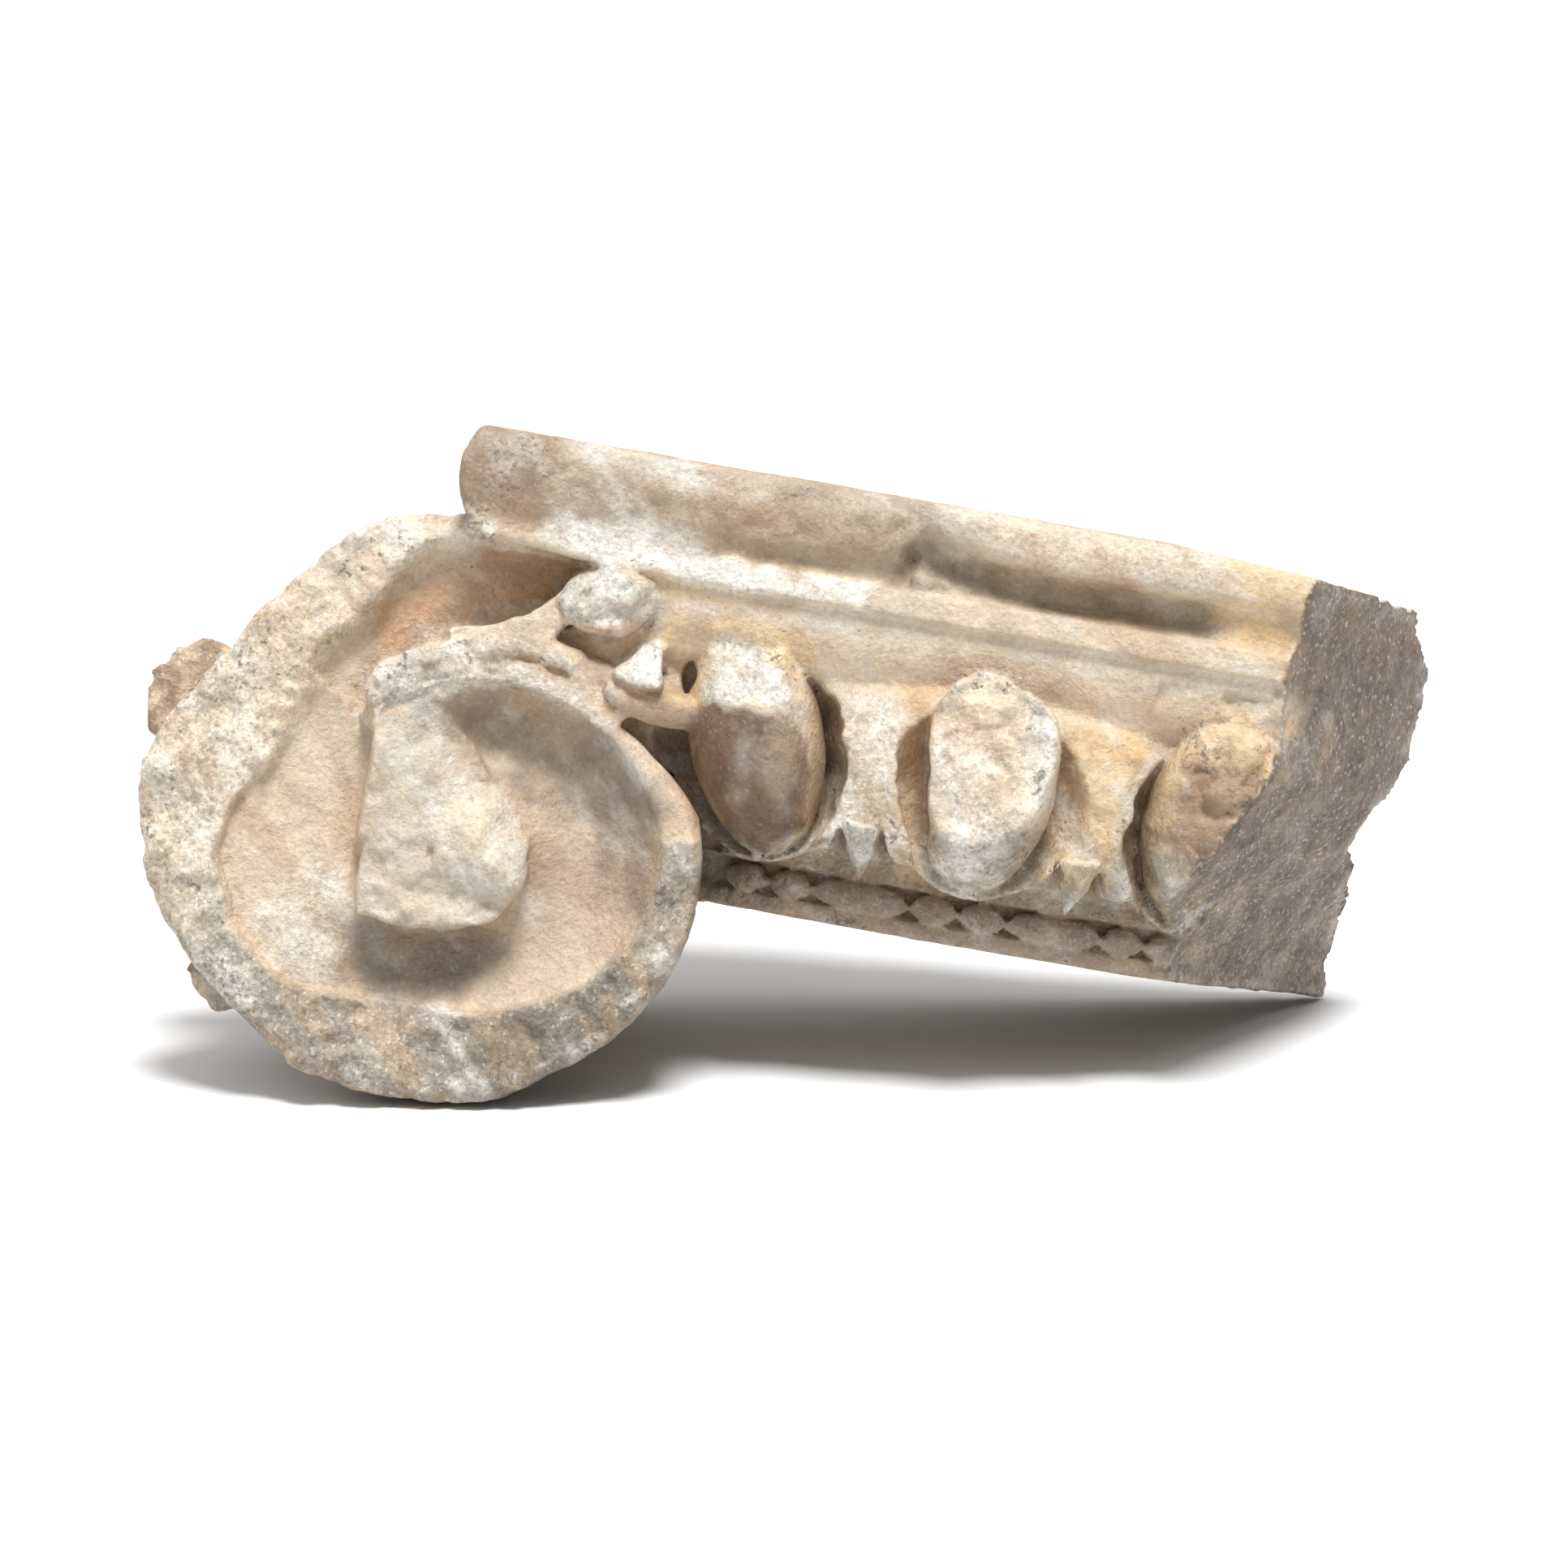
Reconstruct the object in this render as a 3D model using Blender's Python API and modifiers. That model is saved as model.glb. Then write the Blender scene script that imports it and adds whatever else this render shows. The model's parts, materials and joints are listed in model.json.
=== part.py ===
"""Broken corner of a marble Ionic capital, carved as one stone.

The stone is drawn upright: X runs right from the column axis, Y runs back from the front plane
and Z runs up from the flat bed. It is then laid on the floor as it comes to rest.
"""

import math

import bmesh
import bpy
import numpy as np
from mathutils import Matrix, Vector, noise

NAME = "ionic_capital_fragment"

# Column axis and ring of eggs
AXIS_Y = 0.240
EGG_PITCH = math.radians(22.5)
ROUND_STEPS = 80
ECHINUS_TURN = math.radians(0.9)
SLAB_TURN = math.radians(2.3)
ECHINUS = [
    (0.236, 0.133),
    (0.229, 0.121),
    (0.232, 0.104),
    (0.230, 0.078),
    (0.220, 0.050),
    (0.210, 0.028),
    (0.210, 0.0205),
    (0.205, 0.0195),
    (0.205, 0.009),
    (0.209, 0.008),
    (0.209, 0.0),
]
DART_SLAB = [
    (0.226, 0.108),
    (0.238, 0.098),
    (0.241, 0.078),
    (0.239, 0.052),
    (0.235, 0.036),
    (0.228, 0.031),
]
EGG_PROFILE = [
    (0.0, 0.050),
    (0.0120, 0.0475),
    (0.0205, 0.0395),
    (0.0260, 0.0265),
    (0.0285, 0.0080),
    (0.0275, -0.0100),
    (0.0240, -0.0260),
    (0.0175, -0.0390),
    (0.0090, -0.0465),
    (0.0, -0.0490),
]
EGG_STEPS = 18
EGG_RADIUS = 0.233
EGG_HEIGHT = 0.070
EGG_LEAN = math.radians(19.0)
CUP_SCALE = (1.36, 0.93, 1.06)
HUSK_SCALE = (1.52, 1.20, 1.07)
HUSK_DROP = 0.0015
DART_WIDTH = 0.010
DART_TIP = 0.0205
DART_TOP = 0.046
DART_RADIUS = 0.214

# Bead and reel below the eggs, with drilled points between them
BEAD_RADIUS = 0.2075
BEAD_Z = 0.0138
BEAD_HEIGHT = 0.0062
BEAD_DEPTH = 0.0068
BEAD_SHARES = (0.25, 0.5, 0.25)
BEAD_FIRST = -1.25
BEAD_PITCHES = 3
DRILL_RADIUS = 0.0021
DRILL_Z = 0.0172
DRILL_LENGTH = 0.016

# Abacus, drawn as its section in Y and Z
ABACUS_LEFT = -0.232
BLOCK_RIGHT = 0.330
BLOCK_BACK = 0.300
ABACUS = [
    (0.000, 0.180),
    (-0.006, 0.176),
    (-0.007, 0.167),
    (-0.003, 0.160),
    (0.0075, 0.1575),
    (0.0090, 0.150),
    (0.0050, 0.1440),
    (-0.0005, 0.1420),
    (-0.0005, 0.1315),
    (0.0100, 0.1300),
    (0.0120, 0.1210),
]
FIELD_LEFT = -0.140
FIELD = [(0.0121, 0.1205), (0.0130, 0.110), (0.0180, 0.096), (0.0320, 0.086), (0.060, 0.078), (0.110, 0.078), (0.110, 0.1205)]
WORN_FACE = [(0.004, 0.179), (-0.005, 0.166), (-0.004, 0.150), (-0.001, 0.1415), (0.030, 0.1415)]
WORN_LEFT = -0.2335
WORN_RIGHT = -0.100
WORN_END = -0.034

# Block behind the carving
CORE = [(-0.232, 0.176), (-0.232, 0.128), (-0.214, 0.080), (-0.150, 0.040), (-0.095, 0.0)]
CORE_TOP = 0.176
CORE_FRONT = 0.066
CORNER = [(-0.240, 0.138), (-0.235, 0.080), (-0.150, 0.055), (-0.112, 0.060), (-0.112, 0.138)]
CORNER_FRONT = 0.029

# Volute: radii round its eye, by angle from the right, turning upward
EYE = (-0.1995, 0.0064)
VOLUTE_STEPS = 60
OUTLINE = [
    (18, 0.091), (38, 0.081), (56, 0.076), (58, 0.136), (97, 0.136), (112, 0.1425),
    (123, 0.142), (132, 0.138), (150, 0.131), (165, 0.137), (180, 0.143), (194, 0.137),
    (211, 0.127), (233, 0.119), (255, 0.111), (264, 0.1083), (276, 0.1055), (283, 0.104),
    (296, 0.097), (334, 0.094), (356, 0.092),
]
RIM_INNER = [
    (10, 0.0745), (29, 0.072), (56, 0.071), (58, 0.123), (97, 0.123), (104, 0.127), (110, 0.126),
    (114, 0.122), (122, 0.110), (128, 0.105), (139, 0.104), (148, 0.099), (159, 0.0946),
    (168, 0.094), (179, 0.105), (191, 0.1106), (200, 0.107), (205, 0.109), (214, 0.104),
    (225, 0.097), (234, 0.085), (246, 0.074), (259, 0.0676), (292, 0.066), (306, 0.067),
    (321, 0.0704), (338, 0.0697), (351, 0.0724),
]
RIM_DEPTH = [
    (0, 0.009), (18, 0.006), (56, 0.007), (58, 0.018), (98, 0.018), (150, 0.021), (200, 0.019), (250, 0.017),
    (300, 0.013), (335, 0.010),
]
EDGE_DEPTH = [(0, 0.015), (18, 0.008), (56, 0.009), (58, 0.028), (200, 0.027), (300, 0.024), (340, 0.018)]
FLOOR_DEPTH = [(0, 0.024), (60, 0.027), (98, 0.029), (180, 0.028), (250, 0.026), (320, 0.022)]
DISH_DEPTH = [(0, 0.013), (60, 0.010), (120, 0.009), (150, 0.024), (250, 0.024), (320, 0.019)]
DISH_RADIUS = [(56, 0.071), (58, 0.084), (120, 0.084), (150, 0.099)]
FACE_SHARES = (0.36, 0.62, 0.84)
BAND_OUTER = [(51.2, 0.0762), (76, 0.0785), (88, 0.080), (96, 0.0815), (121, 0.0845), (136, 0.0815)]
BAND_INNER = 0.0717
BAND_FRONT = 0.007
BAND_STEP = 4.3
PLATFORM = [
    (-0.2563, 0.0603), (-0.2507, 0.044), (-0.248, 0.026), (-0.2495, 0.008), (-0.248, -0.010),
    (-0.248, -0.024), (-0.245, -0.028), (-0.228, -0.031), (-0.211, -0.029), (-0.200, -0.026),
    (-0.188, -0.021), (-0.1795, -0.006), (-0.179, 0.0045), (-0.182, 0.0155), (-0.195, 0.030),
    (-0.212, 0.0527), (-0.2343, 0.0672),
]
PLATFORM_FRONT = 0.0043
PLATFORM_BACK = 0.0437
EYE_LUMP = ((-0.204, 0.009, 0.008), (0.023, 0.009, 0.020))

# Bolster behind the volute: depth, share of the outline, height of the ring left on it
BOLSTER = [
    (0.040, 0.985, 0.0), (0.050, 0.87, 0.0), (0.068, 0.84, 0.3), (0.076, 0.82, 1.0),
    (0.094, 0.81, 1.0), (0.102, 0.80, 0.2), (0.140, 0.75, 0.0), (0.180, 0.69, 0.0),
    (0.260, 0.62, 0.0),
]
RING_LEFT = [
    (150, 0.0), (156, 0.052), (166, 0.054), (173, 0.0), (206, 0.0), (212, 0.033), (221, 0.033),
    (228, 0.0),
]

# Palmette in the corner above the first egg: centre, half sizes, turn about Y
PALMETTE = [
    ((-0.166, 0.020, 0.1150), (0.024, 0.017, 0.0155), -24.0),
    ((-0.181, 0.019, 0.1020), (0.025, 0.015, 0.0085), -40.0),
    ((-0.181, 0.019, 0.0885), (0.026, 0.014, 0.0060), 14.0),
    ((-0.137, 0.018, 0.0770), (0.025, 0.018, 0.0080), 4.0),
    ((-0.149, 0.019, 0.0930), (0.008, 0.015, 0.0170), 30.0),
    ((-0.137, 0.024, 0.1080), (0.008, 0.017, 0.0270), 6.0),
]
LEAF_HOLE = ((-0.1268, 0.092), (0.0030, 0.0075))
LEAF_HOLE_LENGTH = 0.055

# Breaks on the eggs: centre, half sizes, turns about X and Z
EGG_BREAKS = [
    ((-0.001, -0.0370, 0.080), (0.045, 0.028, 0.048), (6.0, 3.0)),
    ((-0.106, -0.0270, 0.107), (0.040, 0.020, 0.026), (-26.0, -14.0)),
    ((0.112, -0.0270, 0.085), (0.040, 0.024, 0.070), (4.0, 24.0)),
]

# Fracture at the right end, as X where it meets the front plane, by height
END_FACE = [
    (0.0, 0.066), (0.015, 0.066), (0.038, 0.078), (0.061, 0.099), (0.092, 0.1165), (0.147, 0.118),
    (0.177, 0.123), (0.200, 0.124),
]
END_SLOPE = 0.54
# Fracture at the back, as its depth at the left end and at the right end, by height
BACK_FACE = [
    (-0.110, 0.200, 0.200), (0.0, 0.206, 0.203), (0.020, 0.207, 0.201), (0.036, 0.207, 0.187),
    (0.050, 0.206, 0.160), (0.068, 0.205, 0.129), (0.082, 0.204, 0.118), (0.096, 0.202, 0.127),
    (0.110, 0.200, 0.135), (0.130, 0.197, 0.140), (0.150, 0.194, 0.137), (0.165, 0.191, 0.112),
    (0.180, 0.188, 0.100),
]
BACK_LEFT = -0.150
BACK_RIGHT = 0.175
ROUGHNESS = 0.0045
ROUGH_SCALE = 0.045
ROUGH_SEED = Vector((3.1, 7.7, 1.9))
FACET = 0.020

# Ground on which the stone is laid
EXPECTED_UP = Vector((-0.165, -0.205, 0.965))
WHOLE_TURN = 360.0


def table(points, angle):
    """A value that goes once round the volute, read between its points."""
    angles, values = zip(*points)
    return float(np.interp(angle, angles, values, period=WHOLE_TURN))


def mesh_object(name, verts, faces, collection):
    mesh = bpy.data.meshes.new(name)
    work = bmesh.new()
    made = [work.verts.new(v) for v in verts]
    for face in faces:
        work.faces.new([made[i] for i in face])
    bmesh.ops.recalc_face_normals(work, faces=work.faces)
    bmesh.ops.triangulate(work, faces=work.faces)
    work.to_mesh(mesh)
    work.free()
    obj = bpy.data.objects.new(name, mesh)
    collection.objects.link(obj)
    return obj


def extruded(name, outline, near, far, collection):
    """A prism whose outline is lifted from one plane to another; near and far make its points."""
    count = len(outline)
    verts = [near(p) for p in outline] + [far(p) for p in outline]
    faces = [(i, (i + 1) % count, count + (i + 1) % count, count + i) for i in range(count)]
    faces.append(tuple(range(count)))
    faces.append(tuple(range(count, 2 * count)))
    return mesh_object(name, verts, faces, collection)


def lofted(name, rings, collection):
    """A closed skin over rings of equal count, each end drawn to a flat cap."""
    count = len(rings[0])
    verts = [p for ring in rings for p in ring]
    faces = []
    for r in range(len(rings) - 1):
        for i in range(count):
            j = (i + 1) % count
            faces.append((r * count + i, r * count + j, (r + 1) * count + j, (r + 1) * count + i))
    faces.append(tuple(range(count)))
    faces.append(tuple(range((len(rings) - 1) * count, len(rings) * count)))
    return mesh_object(name, verts, faces, collection)


def revolved(name, profile, steps, collection):
    """A profile of radius and height, from its top to its bottom on the axis, turned round Z."""
    mesh = bpy.data.meshes.new(name)
    mesh.from_pydata([(r, 0.0, z) for r, z in profile], [(i, i + 1) for i in range(len(profile) - 1)], [])
    obj = bpy.data.objects.new(name, mesh)
    collection.objects.link(obj)
    screw = obj.modifiers.new("Turn", "SCREW")
    screw.axis = "Z"
    screw.angle = math.tau
    screw.steps = steps
    screw.render_steps = steps
    screw.use_merge_vertices = True
    screw.merge_threshold = 0.00005
    return obj


def lump(name, centre, half, turn, segments, rings, collection):
    """An ellipsoid with its half sizes along X, Y and Z, then turned."""
    mesh = bpy.data.meshes.new(name)
    work = bmesh.new()
    bmesh.ops.create_uvsphere(work, u_segments=segments, v_segments=rings, radius=1.0)
    work.to_mesh(mesh)
    work.free()
    obj = bpy.data.objects.new(name, mesh)
    obj.matrix_world = Matrix.Translation(centre) @ turn @ Matrix.Diagonal((*half, 1.0))
    collection.objects.link(obj)
    return obj


def box(name, centre, half, turn, collection):
    mesh = bpy.data.meshes.new(name)
    work = bmesh.new()
    bmesh.ops.create_cube(work, size=2.0)
    work.to_mesh(mesh)
    work.free()
    obj = bpy.data.objects.new(name, mesh)
    obj.matrix_world = Matrix.Translation(centre) @ turn @ Matrix.Diagonal((*half, 1.0))
    collection.objects.link(obj)
    return obj


def drill(name, start, direction, length, radii, collection):
    """A round or oval drill hole from a point, along a direction."""
    mesh = bpy.data.meshes.new(name)
    work = bmesh.new()
    bmesh.ops.create_cone(
        work, cap_ends=True, segments=8, radius1=1.0, radius2=1.0, depth=1.0
    )
    work.to_mesh(mesh)
    work.free()
    obj = bpy.data.objects.new(name, mesh)
    aim = Vector(direction).to_track_quat("Z", "X").to_matrix().to_4x4()
    middle = Vector(start) + Vector(direction).normalized() * length / 2
    obj.matrix_world = Matrix.Translation(middle) @ aim @ Matrix.Diagonal((*radii, length, 1.0))
    collection.objects.link(obj)
    return obj


def round_axis(turn):
    """The column axis, turned by an angle so that the front faces that way."""
    return Matrix.Translation((0.0, AXIS_Y, 0.0)) @ Matrix.Rotation(turn, 4, "Z")


def egg_place(index, scale, drop):
    lean = Matrix.Rotation(EGG_LEAN, 4, "X") @ Matrix.Rotation(scale[2] - scale[0], 4, "Z")
    place = Matrix.Translation((0.0, -EGG_RADIUS, EGG_HEIGHT - drop))
    return round_axis(index * EGG_PITCH) @ place @ lean @ Matrix.Diagonal((*scale, 1.0))


def echinus(collection):
    top = [(0.0, ECHINUS[0][1])]
    bottom = [(0.0, ECHINUS[-1][1])]
    obj = revolved("echinus", top + ECHINUS + bottom, ROUND_STEPS, collection)
    obj.matrix_world = round_axis(ECHINUS_TURN)
    return obj


def dart_slab(collection):
    top = [(0.0, DART_SLAB[0][1])]
    bottom = [(0.0, DART_SLAB[-1][1])]
    obj = revolved("dart_slab", top + DART_SLAB + bottom, ROUND_STEPS, collection)
    obj.matrix_world = round_axis(SLAB_TURN)
    return obj


def egg(name, index, scale, drop, collection):
    obj = revolved(name, EGG_PROFILE, EGG_STEPS, collection)
    obj.matrix_world = egg_place(index, scale, drop)
    return obj


def dart(index, collection):
    """The point of a dart, between two husks."""
    turn = (index + 0.5) * EGG_PITCH
    cone = bpy.data.meshes.new("dart")
    work = bmesh.new()
    bmesh.ops.create_cone(
        work, cap_ends=True, segments=8, radius1=0.0005, radius2=DART_WIDTH, depth=DART_TOP - DART_TIP
    )
    work.to_mesh(cone)
    work.free()
    obj = bpy.data.objects.new("dart", cone)
    middle = (0.0, -DART_RADIUS, (DART_TOP + DART_TIP) / 2)
    shear = Matrix.Identity(4)
    shear[1][2] = -0.45
    obj.matrix_world = round_axis(turn) @ Matrix.Translation(middle) @ shear
    collection.objects.link(obj)
    return obj


def beads(collection):
    made = []
    edge = BEAD_FIRST
    for pitch in range(BEAD_PITCHES):
        for share in BEAD_SHARES:
            turn = (edge + share / 2) * EGG_PITCH
            half = share * EGG_PITCH * BEAD_RADIUS / 2 * 1.06
            made.append(
                lump(
                    f"bead_{len(made)}",
                    (0.0, 0.0, 0.0),
                    (half, BEAD_DEPTH, BEAD_HEIGHT),
                    Matrix.Identity(4),
                    12,
                    6,
                    collection,
                )
            )
            size = Matrix.Diagonal((half, BEAD_DEPTH, BEAD_HEIGHT, 1.0))
            place = Matrix.Translation((0.0, -BEAD_RADIUS, BEAD_Z))
            made[-1].matrix_world = round_axis(turn) @ place @ size
            edge += share
    return made


def bead_drills(collection):
    made = []
    edge = BEAD_FIRST
    for pitch in range(BEAD_PITCHES):
        for share in BEAD_SHARES:
            edge += share
            turn = edge * EGG_PITCH
            out = Vector((math.sin(turn), -math.cos(turn), 0.0))
            start = Vector((0.0, AXIS_Y, DRILL_Z)) + out * (BEAD_RADIUS + BEAD_DEPTH)
            made.append(
                drill(
                    f"bead_drill_{len(made)}", start, -out, DRILL_LENGTH,
                    (DRILL_RADIUS, DRILL_RADIUS), collection,
                )
            )
    return made


def dish_radius(angle):
    """Radius of the inner whorl's dish where the channel runs outside it, or a far one elsewhere."""
    if not DISH_RADIUS[0][0] < angle < DISH_RADIUS[-1][0]:
        return table(OUTLINE, angle)
    return float(np.interp(angle, *zip(*DISH_RADIUS)))


def ring(radius, depth):
    """A ring of points round the eye, its radius and depth given by angle."""
    points = []
    for step in range(VOLUTE_STEPS):
        angle = step * WHOLE_TURN / VOLUTE_STEPS
        r = radius(angle)
        turn = math.radians(angle)
        points.append((EYE[0] + r * math.cos(turn), depth(angle), EYE[1] + r * math.sin(turn)))
    return points


def volute(collection):
    """The front of the volute, its broken rim and the bolster behind it, as one skin."""
    rings = [ring(lambda a: 0.004, lambda a: 0.006)]
    depths = ((0.45, 0.0), (0.8, 0.35), (0.25, 0.75))
    for share, (dish, floor) in zip(FACE_SHARES, depths):
        near = 1.0 - floor
        rings.append(
            ring(
                lambda a, s=share: s * min(table(RIM_INNER, a), dish_radius(a)),
                lambda a, n=near, f=floor: n * table(DISH_DEPTH, a) + f * table(FLOOR_DEPTH, a),
            )
        )
    rings.append(ring(lambda a: table(RIM_INNER, a) - 0.001, lambda a: table(FLOOR_DEPTH, a)))
    rings.append(ring(lambda a: table(RIM_INNER, a) + 0.002, lambda a: table(RIM_DEPTH, a) + 0.003))
    rings.append(
        ring(
            lambda a: 0.5 * table(RIM_INNER, a) + 0.5 * table(OUTLINE, a),
            lambda a: table(RIM_DEPTH, a),
        )
    )
    rings.append(ring(lambda a: table(OUTLINE, a) - 0.002, lambda a: table(EDGE_DEPTH, a)))
    for depth, share, ring_share in BOLSTER:
        rings.append(
            ring(
                lambda a, s=share, k=ring_share: s * table(OUTLINE, a) + k * table(RING_LEFT, a),
                lambda a, d=depth: d,
            )
        )
    return lofted("volute", rings, collection)


def band(collection):
    """The fillet of the inner whorl, up to where it is broken off."""
    rings = []
    angle = BAND_OUTER[0][0]
    while angle <= BAND_OUTER[-1][0]:
        turn = math.radians(angle)
        outer = table(BAND_OUTER, angle)
        section = ((BAND_INNER, BAND_FRONT), (outer, BAND_FRONT), (outer + 0.002, 0.040), (BAND_INNER, 0.040))
        rings.append([(EYE[0] + r * math.cos(turn), y, EYE[1] + r * math.sin(turn)) for r, y in section])
        angle += BAND_STEP
    return lofted("band", rings, collection)


def rough(point):
    """A seeded roughness of a broken face, in metres."""
    place = Vector(point) / ROUGH_SCALE + ROUGH_SEED
    return ROUGHNESS * noise.fractal(place, 0.9, 2.1, 3)


def fracture(name, across, along, surface, far, collection):
    """A block to cut away, with a rough face over two ranges and its other side far off."""
    rows = [[surface(u, v) for u in across] for v in along]
    wide = len(across)
    verts = [p for row in rows for p in row] + [far(p) for row in rows for p in row]
    shift = len(rows) * wide
    faces = []
    for j in range(len(rows) - 1):
        for i in range(wide - 1):
            a = j * wide + i
            quad = (a, a + 1, a + wide + 1, a + wide)
            faces.append(quad)
            faces.append(tuple(shift + k for k in reversed(quad)))
    edge = [i for i in range(wide)]
    edge += [j * wide + wide - 1 for j in range(1, len(rows))]
    edge += [(len(rows) - 1) * wide + i for i in range(wide - 2, -1, -1)]
    edge += [j * wide for j in range(len(rows) - 2, 0, -1)]
    for a, b in zip(edge, edge[1:] + edge[:1]):
        faces.append((a, b, shift + b, shift + a))
    return mesh_object(name, verts, faces, collection)


def end_fracture(collection):
    heights, starts = zip(*END_FACE)
    steps_y = np.arange(-0.060, 0.330, FACET)
    steps_z = np.arange(-0.150, 0.220, FACET)

    def surface(y, z):
        x = float(np.interp(z, heights, starts)) + END_SLOPE * y
        return (x + rough((x, y, z)), y, z)

    return fracture("end_fracture", steps_y, steps_z, surface, lambda p: (0.6, p[1], p[2]), collection)


def back_fracture(collection):
    heights, lefts, rights = zip(*BACK_FACE)
    steps_x = np.arange(-0.420, 0.360, FACET * 1.3)
    steps_z = np.arange(-0.180, 0.220, FACET * 1.3)

    def surface(x, z):
        left = float(np.interp(z, heights, lefts))
        right = float(np.interp(z, heights, rights))
        share = min(1.0, max(0.0, (x - BACK_LEFT) / (BACK_RIGHT - BACK_LEFT)))
        share = share * share * (3.0 - 2.0 * share)
        y = left + (right - left) * share
        return (x, y + rough((x, y, z)), z)

    return fracture("back_fracture", steps_x, steps_z, surface, lambda p: (p[0], 0.6, p[2]), collection)


def combine(body, others, operation, solver="EXACT"):
    for other in others:
        other.hide_render = True
        other.display_type = "WIRE"
        step = body.modifiers.new(other.name, "BOOLEAN")
        step.operation = operation
        step.solver = solver
        step.object = other


def resting_turn(mesh):
    """The turn that lays the stone on the face of its hull below its centre of mass.

    Of the hull's faces that hold the centre, the one nearest the expected ground is taken.
    It is given as a roll about Y and then a pitch about X, with no turn about the upright."""
    mesh.calc_loop_triangles()
    points = np.array([v.co[:] for v in mesh.vertices])
    corners = np.array([t.vertices[:] for t in mesh.loop_triangles])
    a, b, c = points[corners[:, 0]], points[corners[:, 1]], points[corners[:, 2]]
    volumes = np.einsum("ij,ij->i", a, np.cross(b, c)) / 6.0
    centre = ((a + b + c) / 4.0 * volumes[:, None]).sum(0) / volumes.sum()
    hull = bmesh.new()
    for point in points:
        hull.verts.new(point)
    bmesh.ops.convex_hull(hull, input=hull.verts)
    best = None
    for face in hull.faces:
        down = face.normal
        foot = Vector(centre) + down * (face.verts[0].co - Vector(centre)).dot(down)
        loop = [v.co for v in face.verts]
        sides = [(q - p).cross(foot - p).dot(down) for p, q in zip(loop, loop[1:] + loop[:1])]
        if min(sides) < 0.0:
            continue
        match = (-down).dot(EXPECTED_UP)
        if best is None or match > best[0]:
            best = (match, -down)
    hull.free()
    up = best[1].normalized()
    pitch = math.asin(up.y)
    roll = math.atan2(-up.x, up.z)
    return Matrix.Rotation(pitch, 4, "X") @ Matrix.Rotation(roll, 4, "Y")


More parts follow.
